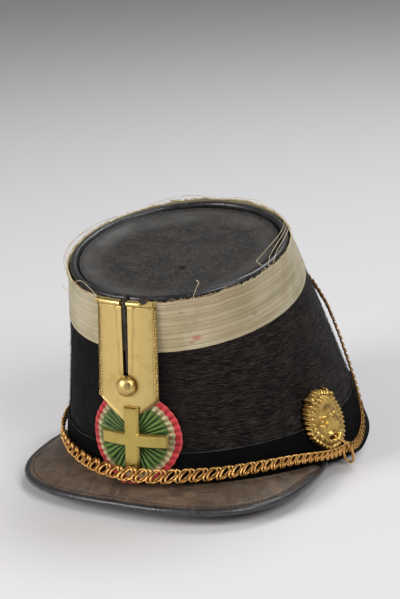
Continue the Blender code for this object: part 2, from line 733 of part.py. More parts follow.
def links_as_beads(places, sides):
    """The links between a run's two end eyes: one sheared bead each, swollen in the middle."""
    turns = (np.arange(sides) + 0.5) * 2 * math.pi / sides
    stations = []
    for place in places:
        stations += [(place, -0.5, BEAD_WAIST), (place, 0.0, 1.0)]
    stations[0] = (places[0], -0.5, BEAD_END)
    stations.append((places[-1], 0.5, BEAD_END))
    points = []
    for (centre, tangent, side, above, (pitch, width, wire)), shift, swell in stations:
        across = (0.5 * width * swell) * np.cos(turns)
        rise = (BEAD_HEIGHT * wire * swell) * np.sin(turns)
        along = shift * pitch + across * LINK_SHEAR
        points.extend(centre + along[:, None] * tangent + across[:, None] * side + rise[:, None] * above)
    count = len(points)
    faces = [tuple(range(sides)), tuple(reversed(range(count - sides, count)))]
    for start in range(0, count - sides, sides):
        for k in range(sides):
            m = (k + 1) % sides
            faces.append((start + k, start + m, start + sides + m, start + sides + k))
    return points, faces


def make_chain(name, route, graduated, sides):
    """One run of the chain, with an open link at each end for the hooks."""
    places = link_places(route, graduated)
    points, faces = links_as_beads(places[1:-1], sides)
    run = solid(name, points, faces, "gilt_brass")
    for place, end in ((places[0], "first"), (places[-1], "last")):
        eye = solid(f"{name}_{end}", *ring_link(*place), "gilt_brass")
        eye.hide_render = True
        eye.display_type = "WIRE"
        join = run.modifiers.new(end, "BOOLEAN")
        join.operation = "UNION"
        join.solver = "EXACT"
        join.object = eye


def main():
    clear_scene()
    make_crown_body()
    make_head_band()
    make_galloon_band()
    make_crown_rim()
    make_crown_top()
    make_peak()
    make_peak_edging()
    make_loop_plate()
    make_button()
    make_cockade()
    make_cross()
    for side, name in ((1, "left"), (-1, "right")):
        make_lion_boss(side, f"lion_boss_{name}")
        make_chain_hook(side, f"chain_hook_{name}")
    make_chain_hook_back()
    make_chain("chain_front", FRONT_ROUTE, True, 8)
    make_chain("chain_back", BACK_ROUTE, False, 6)


main()
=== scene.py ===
"""The kepi's looks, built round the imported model. Sizes here are in millimetres until piece() makes
the meshes, in metres. The front, with the peak, faces -Y, and a bearing is an angle in degrees round
the hat, from 0 at the front to 90 at +X, the wearer's left. "out" is a distance from the crown's
outer wall along its normal."""

import math

import bpy
import numpy as np
from mathutils import Matrix, Vector


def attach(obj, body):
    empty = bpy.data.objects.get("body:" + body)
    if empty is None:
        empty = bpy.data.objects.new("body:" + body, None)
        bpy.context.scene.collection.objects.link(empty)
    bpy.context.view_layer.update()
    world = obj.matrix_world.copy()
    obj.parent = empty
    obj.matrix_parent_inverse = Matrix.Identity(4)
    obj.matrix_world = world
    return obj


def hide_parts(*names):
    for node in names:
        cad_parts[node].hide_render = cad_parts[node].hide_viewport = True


MM = 0.001
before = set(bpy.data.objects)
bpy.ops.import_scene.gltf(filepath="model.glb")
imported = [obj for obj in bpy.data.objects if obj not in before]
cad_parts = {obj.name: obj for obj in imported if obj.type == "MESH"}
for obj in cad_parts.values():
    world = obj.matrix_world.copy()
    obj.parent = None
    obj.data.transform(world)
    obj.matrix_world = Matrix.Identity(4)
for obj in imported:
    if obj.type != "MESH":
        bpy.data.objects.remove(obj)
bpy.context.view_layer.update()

# The crown's outer wall, as the CAD model has it: an oval on the table to a smaller tilted oval.
BASE_HALF_WIDTH = 83.4
BASE_HALF_LENGTH = 102.3
TOP_HALF_WIDTH = 59.6
TOP_HALF_LENGTH = 59.9
TOP_FORWARD = 36.9
TOP_HEIGHT = 126.4
TOP_TILT = math.radians(10.9)
WAIST = -1.4
BACK_BULGE = 15.0
BULGE_POWER = 1.2
HAT_Y = 8.9
WALL = 2.0
ARCH_HEIGHT = 13.4
ARCH_REACH = 97.0
ARCH_FOOT = 1.15
BAND_WIDTH = 29.2
HEAD_BAND_WIDTH = 31.6

PEAK_HALF_WIDTH = 83.9
PEAK_SHOULDER_Y = -46.5
PEAK_DEPTH = 74.8
PEAK_POWER = 2.75
PEAK_END_BEARING = 74.0
LEATHER_END_BEARING = 69.0
PEAK_END_OUT = 3.5
PEAK_ROOT_RISE = 1.6
PEAK_EDGE_HEIGHT = 9.8
PEAK_EDGE_TWIST = 1.4
PEAK_EDGE_DROOP = 1.8
PEAK_THICK = 2.0
PEAK_CAMBER = 0.6
PEAK_ROOT_OUT = 1.9
EDGING_SWELL = 1.12

PLATE_HALF_WIDTH = 16.6
PLATE_TOP = 114.0
PLATE_SHOULDER = 60.5
PLATE_TIP = 47.5
TOOTH_PITCH = 1.55
CORD_LAY = 4.2
PLATE_OUT_TOP = 1.6
PLATE_OUT_TIP = 4.7
SLOT_HALF_TOP = 1.8
SLOT_HALF_END = 1.4
SLOT_END = 73.5
BUTTON_X = 0.8
BUTTON_HEIGHT = 68.3
BUTTON_RADIUS = 5.6
COCKADE_X = 2.0
COCKADE_HEIGHT = 39.8
COCKADE_RADIUS = 25.4
COCKADE_OUT_TOP = 1.6
COCKADE_OUT_LOW = 3.4
COCKADE_FOLD = 18.5
COCKADE_FOLD_OUT = 1.60
COCKADE_FOLD_DOWN = 0.72
CROSS_X = 3.0
CROSS_HEIGHT = 39.5
CROSS_HALF = 18.0
CROSS_SHORT_HALF = 16.2
CROSS_ARM_HALF = 3.8
CROSS_OUT = 6.2
CROSS_THICK = 1.8

BOSS_BEARING = {1: 80.0, -1: 86.0}
BOSS_HEIGHT = 31.0
BOSS_HALF_WIDTH = 16.5
BOSS_HALF_HEIGHT = 18.2
BOSS_OUT = 1.7
HOOK_BEARING = {1: 85.0, -1: 91.0}
HOOK_HEIGHT = {1: 10.0, -1: 15.0}
BACK_HOOK_HEIGHT = 90.0

LINK_PITCH = {"large": 7.9, "small": 3.9}
LINK_WIDTH = {"large": 8.8, "small": 5.4}
LINK_WIRE = {"large": 0.95, "small": 0.65}
LINK_SIZES = (LINK_PITCH, LINK_WIDTH, LINK_WIRE)
LINK_GROWTH = 1.7

# The chain's route, as in the CAD model: bearing, height, out.
FRONT_ROUTE = [
    (-91.0, 15.0, 4.6),
    (-87.0, 15.8, 5.3),
    (-80.0, 18.2, 5.5),
    (-73.0, 20.0, 4.4),
    (-65.0, 21.0, 3.7),
    (-56.0, 21.6, 3.6),
    (-46.0, 22.0, 4.0),
    (-33.0, 22.0, 5.0),
    (-22.0, 22.0, 6.6),
    (-12.0, 22.0, 9.2),
    (0.0, 21.8, 10.9),
    (12.0, 21.4, 9.6),
    (22.0, 21.0, 6.8),
    (34.0, 20.4, 5.2),
    (50.0, 19.6, 4.6),
    (60.0, 17.8, 4.4),
    (67.0, 15.6, 5.0),
    (74.0, 12.8, 5.5),
    (81.0, 10.7, 5.3),
    (85.0, 10.0, 4.6),
]
BACK_ROUTE = [
    (-91.0, 15.0, 6.8),
    (-94.5, 12.7, 5.8),
    (-99.5, 13.0, 4.2),
    (-105.0, 16.2, 3.4),
    (-111.0, 22.0, 3.4),
    (-116.0, 31.0, 3.4),
    (-121.0, 44.0, 3.4),
    (-128.0, 60.0, 3.4),
    (-139.0, 75.0, 3.6),
    (-156.0, 86.0, 4.0),
    (-180.0, 90.0, 4.2),
    (-204.0, 86.0, 4.0),
    (-221.0, 75.0, 3.6),
    (-232.0, 60.0, 3.4),
    (-239.0, 44.0, 3.4),
    (-244.0, 31.0, 3.4),
    (-249.0, 20.0, 3.4),
    (-256.0, 11.5, 3.4),
    (-264.0, 8.0, 4.0),
    (-271.0, 8.4, 5.8),
    (-275.0, 10.0, 6.8),
]


# ---- The crown's wall -------------------------------------------------------------------------


def unit(vectors):
    """Vectors, or rows of them, brought to length 1."""
    return vectors / np.linalg.norm(vectors, axis=-1, keepdims=True)


def bell(x, at, half, power=2):
    """1 at a place, falling smoothly to nearly 0 beside it. A higher power has a flatter top."""
    return np.exp(-(np.abs((x - at) / half) ** power))


def height_at_top(radians):
    """Height of the top oval at a bearing given in radians."""
    return TOP_HEIGHT - TOP_HALF_LENGTH * np.cos(radians) * math.sin(TOP_TILT)


def wall(bearing, t, out=0.0):
    """Points on the wall, t from 0 at the table to 1 at the top oval, moved out along its normal."""

    def surface(b, s):
        across = np.sin(b)
        along = -np.cos(b)
        swell = 4.0 * s * (1.0 - s)
        behind = np.maximum(along, 0.0) ** (1.0 + BULGE_POWER)
        top_y = TOP_HALF_LENGTH * along * math.cos(TOP_TILT) - TOP_FORWARD
        x = (BASE_HALF_WIDTH * (1.0 - s) + TOP_HALF_WIDTH * s + WAIST * swell) * across
        y = BASE_HALF_LENGTH * along * (1.0 - s) + top_y * s
        y = y + (WAIST * along + BACK_BULGE * behind) * swell + HAT_Y
        return np.stack([x, y, height_at_top(b) * s], axis=-1)

    b, s = np.broadcast_arrays(np.radians(np.asarray(bearing, float)), np.asarray(t, float))
    step = 1e-4
    round_it = surface(b + step, s) - surface(b - step, s)
    up_it = surface(b, s + step) - surface(b, s - step)
    return surface(b, s) + unit(np.cross(round_it, up_it)) * np.asarray(out, float)[..., None]


def wall_at(bearing, height, out=0.0):
    """Points on the wall at a height above the table."""
    return wall(bearing, np.asarray(height, float) / height_at_top(np.radians(bearing)), out)


def wall_length(bearing):
    """Length of the wall from the table to the top oval, straight up it."""
    return np.linalg.norm(wall(bearing, 1.0) - wall(bearing, 0.0), axis=-1)


def front_at(x, height, out):
    """Points on the front of the wall at a distance x from the middle and a height."""
    x, height = np.broadcast_arrays(np.asarray(x, float), np.asarray(height, float))
    t = height / height_at_top(0.0)
    half = BASE_HALF_WIDTH * (1.0 - t) + TOP_HALF_WIDTH * t + WAIST * 4.0 * t * (1.0 - t)
    return wall_at(np.degrees(np.arcsin(x / half)), height, out)


def rim_height(bearing):
    """Height of the crown's lower rim: level behind, and arched over the forehead."""
    share = np.clip(np.abs(bearing) / ARCH_REACH, 0.0, 1.0)
    return ARCH_HEIGHT * (1.0 - share**3) ** ARCH_FOOT


def bearings(count):
    """Evenly spaced bearings from -180, so that a ring's seam lies behind."""
    return -180.0 + np.arange(count) * 360.0 / count


# ---- Meshes -----------------------------------------------------------------------------------


def ripple(x, y, seed, waves=7, longest=1.0, shortest=0.25):
    """A smooth random field between about -1 and 1: a sum of waves of several directions and lengths."""
    draw = np.random.default_rng(seed)
    total = np.zeros(np.broadcast(x, y).shape)
    for length in np.geomspace(longest, shortest, waves):
        turn, phase = draw.uniform(0.0, 2.0 * math.pi, 2)
        total = total + np.sin((x * math.cos(turn) + y * math.sin(turn)) * 2.0 * math.pi / length + phase)
    return total / math.sqrt(waves) / 1.4


def grid(rows, columns, ring=False, closed_section=False):
    """Cells of a grid of points, row by row. A ring's columns close, and a closed section's rows do."""
    r, c = np.meshgrid(
        np.arange(rows if closed_section else rows - 1),
        np.arange(columns if ring else columns - 1),
        indexing="ij",
    )
    up, along = (r + 1) % rows, (c + 1) % columns
    corners = [r * columns + c, r * columns + along, up * columns + along, up * columns + c]
    return np.stack(corners, -1).reshape(-1, 4)


def piece(
    name, points, faces, look, slot, stands_for=(), sharp=40.0, fields=None, inner=None, inner_look=None
):
    """Makes a shown piece from points in millimetres, whose material reads fields, values at the points.
    inner says which faces wear inner_look."""
    mesh = bpy.data.meshes.new(name)
    mesh.from_pydata((np.asarray(points) * MM).tolist(), [], [list(map(int, f)) for f in faces])
    for key, values in (fields or {}).items():
        layer = mesh.attributes.new(key, "FLOAT", "POINT")
        layer.data.foreach_set("value", np.asarray(values, np.float32).ravel())
    mesh.materials.append(look)
    if inner_look is not None:
        mesh.materials.append(inner_look)
        mesh.polygons.foreach_set("material_index", np.asarray(inner, np.int32))
    mesh.shade_smooth()
    mesh.set_sharp_from_angle(angle=math.radians(sharp))
    made = bpy.data.objects.new(name, mesh)
    bpy.context.scene.collection.objects.link(made)
    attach(made, "root")
    if stands_for:
        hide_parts(*stands_for)
    return made


def slab(front, back, cells):
    """Points and faces of a closed sheet between two layers of points, with its open edges walled."""
    count = len(front)
    cells = np.asarray(cells)
    faces = [tuple(c) for c in cells] + [tuple(c[::-1] + count) for c in cells]
    ends = np.concatenate([np.stack([cells[:, i], cells[:, (i + 1) % 4]], 1) for i in range(4)])
    known = {(int(i), int(j)) for i, j in ends}
    for i, j in known:
        if (j, i) not in known and i != j:
            faces.append((j, i, count + i, count + j))
    return np.concatenate([front, back]), faces


def frames_along(path, up, closed=False):
    """Unit tangent, side and up vectors along a path of points, from rough up vectors."""
    ahead = np.roll(path, -1, axis=0) - np.roll(path, 1, axis=0) if closed else np.gradient(path, axis=0)
    tangent = unit(ahead)
    side = unit(np.cross(tangent, up))
    return tangent, side, np.cross(side, tangent)


def smooth_route(points, count):
    """Count evenly spaced points on a Catmull-Rom curve through the points, and its length."""
    points = np.asarray(points, float)
    padded = np.concatenate([[2 * points[0] - points[1]], points, [2 * points[-1] - points[-2]]])
    steps = np.linspace(0.0, 1.0, 21)[:-1, None]
    dense = []
    for a, b, c, d in zip(padded, padded[1:], padded[2:], padded[3:]):
        bend = (2 * a - 5 * b + 4 * c - d) * steps**2 + (3 * b - a - 3 * c + d) * steps**3
        dense.append(b + 0.5 * ((c - a) * steps + bend))
    dense = np.concatenate([*dense, points[-1:]])
    at = np.concatenate([[0.0], np.cumsum(np.linalg.norm(np.diff(dense[:, :3], axis=0), axis=1))])
    wanted = np.linspace(0.0, at[-1], count)
    return np.stack([np.interp(wanted, at, column) for column in dense.T], axis=1), at[-1]


def bar(path, radius, sides=8, up=(0.0, 0.0, 1.0), closed=False):
    """Points and faces of a round bar along a path. radius may change along it."""
    path = np.asarray(path, float)
    radius = np.broadcast_to(np.asarray(radius, float), (len(path),))
    _, side, above = frames_along(path, np.broadcast_to(np.asarray(up, float), path.shape), closed)
    turns = np.arange(sides) * 2 * math.pi / sides
    ring = side[:, None] * np.cos(turns)[None, :, None] + above[:, None] * np.sin(turns)[None, :, None]
    points = (path[:, None] + ring * radius[:, None, None]).reshape(-1, 3)
    faces = grid(len(path), sides, ring=True, closed_section=closed).tolist()
    if not closed:
        faces += [list(range(sides))[::-1], list(range(len(points) - sides, len(points)))]
    return points, faces


def joined_piece(name, parts, look, slot, **settings):
    """Makes one shown piece from many (points, faces)."""
    points, faces, start = [], [], 0
    for part_points, part_faces in parts:
        points.append(np.asarray(part_points, float))
        faces.extend([[i + start for i in f] for f in part_faces])
        start += len(part_points)
    piece(name, np.concatenate(points), faces, look, slot, **settings)


# ---- Materials --------------------------------------------------------------------------------


def colour(red, green, blue):
    """A linear colour from values of 0 to 255 as seen on a screen."""
    shares = np.array([red, green, blue]) / 255.0
    linear = np.where(shares <= 0.04045, shares / 12.92, ((shares + 0.055) / 1.055) ** 2.4)
    return (*[float(v) for v in linear], 1.0)


class Look:
    """One material: a Principled shader and the nodes that feed it."""

    def __init__(self, name, tint, roughness, metallic=0.0, **constants):
        self.material = bpy.data.materials.new(name)
        self.material.use_nodes = True
        self.tree = self.material.node_tree
        self.shader = self.tree.nodes["Principled BSDF"]
        self.shader.inputs["Base Color"].default_value = tint
        self.shader.inputs["Roughness"].default_value = roughness
        self.shader.inputs["Metallic"].default_value = metallic
        for key, value in constants.items():
            self.shader.inputs[key.replace("_", " ")].default_value = value
        self.last_bump = None

    def node(self, kind, inputs=None, **settings):
        made = self.tree.nodes.new(kind)
        for key, value in settings.items():
            setattr(made, key, value)
        for key, value in (inputs or {}).items():
            self.put(made.inputs[key], value)
        return made

    def put(self, socket, value):
        if isinstance(value, bpy.types.NodeSocket):
            self.tree.links.new(value, socket)
        else:
            socket.default_value = value

    def place(self, scale=(1.0, 1.0, 1.0)):
        """The piece's own coordinates, in metres, stretched."""
        where = self.node("ShaderNodeTexCoord").outputs["Object"]
        return self.node("ShaderNodeMapping", {"Vector": where, "Scale": scale}).outputs["Vector"]

    def noise(self, scale, detail=3.0, rough=0.5, stretch=(1.0, 1.0, 1.0), distortion=0.0):
        inputs = {
            "Vector": self.place(stretch),
            "Scale": scale,
            "Detail": detail,
            "Roughness": rough,
            "Distortion": distortion,
        }
        return self.node("ShaderNodeTexNoise", inputs).outputs["Fac"]

    def field(self, name):
        return self.node("ShaderNodeAttribute", attribute_name=name).outputs["Fac"]

    def calc(self, operation, a, b=0.0, clamp=False):
        return self.node("ShaderNodeMath", {0: a, 1: b}, operation=operation, use_clamp=clamp).outputs[0]

    def spread(self, value, low, high, to_low=0.0, to_high=1.0):
        """value's range from low to high brought to another, and held there."""
        inputs = {"Value": value, "From Min": low, "From Max": high, "To Min": to_low, "To Max": to_high}
        return self.node("ShaderNodeMapRange", inputs, interpolation_type="SMOOTHSTEP").outputs["Result"]

    def mix(self, share, a, b, kind="MIX"):
        made = self.node("ShaderNodeMix", data_type="RGBA", blend_type=kind)
        self.put(made.inputs["Factor"], share)
        self.put(made.inputs[6], a)
        self.put(made.inputs[7], b)
        return made.outputs[2]

    def bump(self, height, depth_mm, strength=1.0):
        inputs = {"Height": height, "Distance": depth_mm * MM, "Strength": strength}
        made = self.node("ShaderNodeBump", inputs)
        if self.last_bump is not None:
            self.put(made.inputs["Normal"], self.last_bump)
        self.last_bump = made.outputs["Normal"]
        self.put(self.shader.inputs["Normal"], self.last_bump)

    def feed(self, socket, value):
        self.put(self.shader.inputs[socket], value)


def plush_look(name, dark, light, tip):
    """Short black fur, brushed flat and level: streaks along the nap and lighter brown and grey clumps, random
    tone that also stands in for the sheen as a painted sheen.
    """
    look = Look(name, dark, 0.75)
    look.shader.inputs["Specular IOR Level"].default_value = 0.12
    streaks = look.noise(620.0, 4.0, 0.6, stretch=(0.22, 0.22, 1.0), distortion=0.6)
    clumps = look.noise(90.0, 3.0, 0.55, stretch=(0.6, 0.6, 1.0))
    patches = look.noise(22.0, 3.0, 0.6)
    # Painted sheen: lighter streaks and clumps, laid out by noise.
    shade = look.mix(look.spread(streaks, 0.42, 0.72), dark, light)
    shade = look.mix(look.calc("MULTIPLY", look.spread(clumps, 0.5, 0.75), 0.55), shade, tip)
    look.feed("Base Color", look.mix(look.spread(patches, 0.35, 0.7), look.mix(0.45, shade, dark), shade))
    look.feed("Roughness", look.spread(clumps, 0.3, 0.7, 0.55, 0.78))
    look.bump(streaks, 0.5, 0.8)
    look.bump(clumps, 0.8, 0.6)
    return look.material


def hair_look():
    """Single hairs of the nap, dark at most, some brown or grey, and painted lighter towards +X through the
    shade field as painted light.
    """
    dark, light = colour(8, 7, 6), colour(98, 89, 84)
    look = Look("nap_hair", dark, 0.55)
    look.shader.inputs["Specular IOR Level"].default_value = 0.10
    look.feed("Base Color", look.mix(look.field("shade"), dark, light))
    return look.material


def velvet_look():
    """The dense smooth velvet of the head band, dusty in places."""
    dark = colour(7, 6, 7)
    look = Look("velvet", dark, 0.9)
    look.shader.inputs["Specular IOR Level"].default_value = 0.08
    dust = look.noise(130.0, 5.0, 0.7, stretch=(0.5, 0.5, 1.0))
    pile = look.noise(2600.0, 2.0)
    look.feed("Base Color", look.mix(look.spread(dust, 0.5, 0.8, 0.0, 0.5), dark, colour(24, 22, 22)))
    look.bump(pile, 0.15, 0.5)
    return look.material


def thread_look(name, tint, other, rough=0.7):
    """A plain fibre whose colour changes a little along it."""
    look = Look(name, tint, rough, Sheen_Weight=0.05)
    look.feed("Base Color", look.mix(look.spread(look.noise(260.0, 4.0), 0.35, 0.65), tint, other))
    look.bump(look.noise(1800.0, 2.0), 0.1, 0.6)
    return look.material


# The ribbon's lengthwise stripes, by distance from its lower edge: where each lies and its half width.
RIBBON_GREENS = {4.1: 1.7, 12.6: 1.9, 19.4: 1.3, 25.4: 1.6}
RIBBON_CREAMS = {1.0: 0.9, 8.6: 0.7, 15.9: 0.6, 22.6: 0.7, 28.4: 0.8}
RIBBON_GROOVES = {
    2.4: 0.28, 6.9: 0.3, 10.2: 0.34, 14.6: 0.26, 17.6: 0.34, 21.3: 0.26, 24.0: 0.34, 27.2: 0.26
}
# Its stains: where along and across, the half sizes, the tint and the strength.
RIBBON_STAINS = [
    (35.0, 6.2, 3.4, 2.4, (196, 92, 78), 0.85),
    (32.0, 4.0, 1.8, 1.2, (178, 84, 70), 0.7),
    (28.6, 22.0, 0.8, 0.7, (60, 48, 34), 0.8),
    (66.0, 9.5, 2.2, 1.6, (132, 96, 62), 0.55),
]
WEFT_PITCH = 0.55


def ribbon_look():
    """Ivory galloon: lengthwise ribs in groups, tarnished greenish and pinkish, and a few stains."""
    ivory = colour(222, 210, 180)
    look = Look("galloon", ivory, 0.55, Sheen_Weight=0.25, Sheen_Roughness=0.4)
    across, along = look.field("across"), look.field("along")
    wander = look.calc("MULTIPLY", look.calc("SUBTRACT", look.noise(24.0, 2.0), 0.5), 0.9)
    lane = look.calc("ADD", across, wander)

    def stripes(table):
        """1 on each stripe of a table, falling to 0 beside it."""
        total = None
        for middle, half_width in table.items():
            away = look.calc("ABSOLUTE", look.calc("SUBTRACT", lane, middle))
            share = look.spread(away, 0.0, half_width, 1.0, 0.0)
            total = share if total is None else look.calc("MAXIMUM", total, share)
        return total

    base = look.mix(look.spread(look.noise(38.0, 3.0), 0.35, 0.65), ivory, colour(188, 174, 136))
    faded = look.spread(look.noise(30.0, 4.0, 0.6, (1.0, 1.0, 2.0)), 0.36, 0.6)
    green = look.calc("MULTIPLY", stripes(RIBBON_GREENS), faded)
    base = look.mix(look.calc("MULTIPLY", green, 0.75), base, colour(150, 150, 102))
    pink = look.calc("MULTIPLY", look.spread(along, 14.0, 26.0), look.spread(along, 46.0, 92.0, 1.0, 0.0))
    pink = look.calc("MULTIPLY", pink, look.spread(look.noise(34.0, 3.0), 0.3, 0.6))
    base = look.mix(look.calc("MULTIPLY", pink, 0.55), base, colour(190, 156, 120))
    base = look.mix(look.calc("MULTIPLY", stripes(RIBBON_CREAMS), 0.6), base, colour(222, 208, 176))
    worn = look.spread(look.noise(60.0, 3.0, 0.6), 0.3, 0.65, 0.15, 0.85)
    dark = look.calc("MULTIPLY", stripes(RIBBON_GROOVES), worn)
    base = look.mix(dark, base, colour(104, 88, 56))

    for at_along, at_across, half_along, half_across, tint, share in RIBBON_STAINS:
        u = look.calc("DIVIDE", look.calc("SUBTRACT", along, at_along), half_along)
        v = look.calc("DIVIDE", look.calc("SUBTRACT", across, at_across), half_across)
        away = look.calc("SQRT", look.calc("ADD", look.calc("MULTIPLY", u, u), look.calc("MULTIPLY", v, v)))
        away = look.calc("ADD", away, look.calc("MULTIPLY", look.noise(420.0, 3.0), 0.9))
        base = look.mix(look.spread(away, 0.7, 1.5, share, 0.0), base, colour(*tint))
    grime = look.calc("MULTIPLY", look.spread(look.noise(55.0, 5.0, 0.65), 0.52, 0.78), 0.5)
    base = look.mix(grime, base, colour(132, 118, 84))
    weft = look.calc("SINE", look.calc("MULTIPLY", along, 2.0 * math.pi / WEFT_PITCH))
    between = look.calc("ADD", look.calc("MULTIPLY", weft, 0.04), 0.5)
    look.feed("Base Color", look.mix(between, base, colour(120, 108, 78)))
    look.bump(weft, 0.03, 0.5)
    look.bump(look.noise(900.0, 3.0), 0.12, 0.6)
    look.feed("Roughness", look.spread(look.noise(80.0, 3.0), 0.3, 0.7, 0.45, 0.68))
    return look.material


def ribbon_back_look():
    """The ribbon's back and upper edge: ivory, turned orange brown near the front."""
    ivory = colour(190, 176, 140)
    look = Look("galloon_back", ivory, 0.7)
    ragged = look.calc("MULTIPLY", look.noise(60.0, 3.0), 30.0)
    away = look.calc("ADD", look.calc("ABSOLUTE", look.field("along")), ragged)
    look.feed("Base Color", look.mix(look.spread(away, 46.0, 78.0), colour(140, 88, 50), ivory))
    return look.material


def leather_look(name, dark, light, grey, roughness, wear, grain=1500.0, coat=0.0):
    """Old leather: grain, brown and grey scuffs, and duller patches."""
    look = Look(name, dark, roughness, Coat_Weight=coat, Coat_Roughness=0.25)
    cells = look.node("ShaderNodeTexVoronoi", {"Vector": look.place(), "Scale": grain}).outputs["Distance"]
    blotches = look.noise(55.0, 6.0, 0.68, distortion=0.8)
    scuffs = look.noise(230.0, 6.0, 0.75, stretch=(1.0, 0.55, 1.0), distortion=0.5)
    shade = look.mix(look.spread(blotches, 0.40, 0.68), dark, light)
    look.feed("Base Color", look.mix(look.spread(scuffs, 0.52, 0.74, 0.0, wear), shade, grey))
    look.feed("Roughness", look.spread(blotches, 0.3, 0.7, roughness - 0.1, min(roughness + 0.16, 1.0)))
    look.bump(cells, 0.16, 0.55)
    look.bump(look.noise(420.0, 5.0, 0.65), 0.3, 0.5)
    look.bump(blotches, 0.8, 0.25)
    return look.material


def top_leather_look():
    """The crown's top: dull black leather, brown in places, and grey where it turns up to the rim, partly
    rubbed wear and partly a painted sheen.
    """
    dark, brown, grey = colour(24, 23, 22), colour(43, 38, 34), colour(78, 76, 73)
    look = Look("top_leather", dark, 0.6)
    look.shader.inputs["Specular IOR Level"].default_value = 0.3
    share = look.field("share")
    speckle = look.noise(620.0, 5.0, 0.7)
    blotches = look.noise(60.0, 5.0, 0.65, distortion=0.6)
    shade = look.mix(look.spread(blotches, 0.38, 0.66), dark, brown)
    shade = look.mix(look.spread(speckle, 0.48, 0.66, 0.0, 0.7), shade, colour(78, 72, 66))
    # The grey ring where the disc turns up to the rim: partly wear, partly a painted sheen.
    ring = look.calc("MULTIPLY", look.spread(share, 0.70, 0.90), look.spread(share, 0.93, 0.985, 1.0, 0.0))
    ring = look.calc("MULTIPLY", ring, look.spread(look.noise(40.0, 4.0), 0.3, 0.62, 0.1, 0.75))
    look.feed("Base Color", look.mix(ring, shade, grey))
    dull = look.spread(speckle, 0.3, 0.7, 0.52, 0.66)
    look.feed("Roughness", look.calc("SUBTRACT", dull, look.calc("MULTIPLY", ring, 0.12)))
    look.bump(speckle, 0.22, 0.6)
    look.bump(blotches, 0.9, 0.3)
    return look.material


def brass_look(name, bright, dull, tarnish_and_shade, roughness, brush=(1.0, 1.0, 1.0)):
    """Old brass: fine brushing, duller patches and brown from a field that holds tarnish in the low places and,
    on some pieces, painted shade.
    """
    look = Look(name, bright, roughness, 1.0)
    patches = look.noise(85.0, 5.0, 0.65, distortion=0.4)
    specks = look.noise(700.0, 4.0, 0.7)
    lines = look.noise(1500.0, 3.0, 0.6, stretch=brush)
    shade = look.mix(look.spread(patches, 0.42, 0.72, 0.0, 0.8), bright, dull)
    shade = look.mix(look.spread(specks, 0.60, 0.80, 0.0, 0.7), shade, tarnish_and_shade)
    look.feed("Base Color", look.mix(look.spread(look.field("tarnish_and_shade"), 0.0, 1.0, 0.0, 0.85), shade, tarnish_and_shade))
    look.feed("Roughness", look.spread(patches, 0.3, 0.75, roughness - 0.06, roughness + 0.16))
    look.bump(lines, 0.05, 0.5)
    look.bump(specks, 0.08, 0.4)
    return look.material


def pleat_look(name, lit, shaded, edge):
    """Silk ribbon in pleats: lighter on the folds and darker between them, a painted light and painted shade,
    worn along its edge.
    """
    look = Look(name, lit, 0.62, Sheen_Weight=0.06, Sheen_Roughness=0.35)
    look.shader.inputs["Specular IOR Level"].default_value = 0.25
    fold = look.field("fold")
    uneven = look.noise(220.0, 4.0, 0.6)
    height = look.calc("ADD", fold, look.calc("MULTIPLY", look.calc("SUBTRACT", uneven, 0.5), 0.5))
    # Painted light and shade: the pleat height gives the shaded colour in the hollows and the lit colour on the
    # folds.
    shade = look.mix(look.spread(height, 0.05, 0.85), shaded, lit)
    look.feed("Base Color", look.mix(look.spread(look.field("edge"), 0.2, 1.0, 0.0, 0.6), shade, edge))
    look.bump(look.noise(2200.0, 2.0), 0.06, 0.5)
    return look.material


PLUSH = plush_look("plush", colour(8, 7, 7), colour(24, 21, 20), colour(44, 39, 37))
INSIDE = plush_look("shell_inside", colour(24, 20, 17), colour(38, 32, 27), colour(48, 42, 36))
HAIR = hair_look()
VELVET = velvet_look()
SEAM = thread_look("seam_thread", colour(46, 42, 42), colour(12, 11, 11))
TUFT = thread_look("tuft_thread", colour(74, 68, 66), colour(36, 33, 33))
RIBBON = ribbon_look()
RIBBON_BACK = ribbon_back_look()
FRAY = thread_look("loose_thread", colour(206, 190, 156), colour(168, 148, 112))
CORD = thread_look("black_cord", colour(24, 17, 14), colour(62, 46, 38))
STITCH = thread_look("peak_thread", colour(84, 72, 60), colour(52, 44, 38))
TOP_LEATHER = top_leather_look()
# Leathers: dark, light and scuffed colours, roughness and wear. Brasses: bright, dull and deep colours, the
# deep one for tarnish and for painted shade.
RIM_LEATHER = leather_look(
    "rim_leather", colour(23, 23, 25), colour(33, 33, 36), colour(62, 62, 64), 0.34, 0.35, 900.0, 0.25
)
EDGE_LEATHER = leather_look(
    "edge_leather", colour(36, 36, 39), colour(50, 50, 54), colour(98, 98, 102), 0.36, 0.5, 900.0, 0.3
)
PEAK_LEATHER = leather_look(
    "peak_leather", colour(76, 63, 52), colour(106, 86, 68), colour(126, 116, 108), 0.46, 0.6
)
PLATE = brass_look(
    "plate_brass", colour(214, 188, 122), colour(188, 160, 96), colour(104, 80, 40), 0.36, (6.0, 6.0, 0.4)
)
CROSS = brass_look(
    "cross_brass", colour(192, 170, 96), colour(158, 136, 72), colour(92, 72, 38), 0.34, (0.5, 6.0, 6.0)
)
GILT = brass_look("gilt_brass", colour(222, 174, 104), colour(184, 130, 70), colour(92, 56, 28), 0.36)
LION = brass_look("lion_brass", colour(216, 182, 104), colour(178, 144, 74), colour(88, 60, 28), 0.36)
# Cockade looks: a lit and a shaded colour, for painted light on the folds and painted shade between them, and
# an edge colour.
GREEN = pleat_look("cockade_green", colour(104, 132, 64), colour(16, 38, 12), colour(82, 104, 50))
WHITE = pleat_look("cockade_white", colour(196, 184, 142), colour(112, 98, 62), colour(168, 154, 116))
RED = pleat_look("cockade_red", colour(204, 62, 68), colour(140, 30, 38), colour(204, 84, 84))
FLOOR = Look("pale_table", colour(216, 215, 216), 0.9, Specular_IOR_Level=0.0).material


# ---- The crown --------------------------------------------------------------------------------


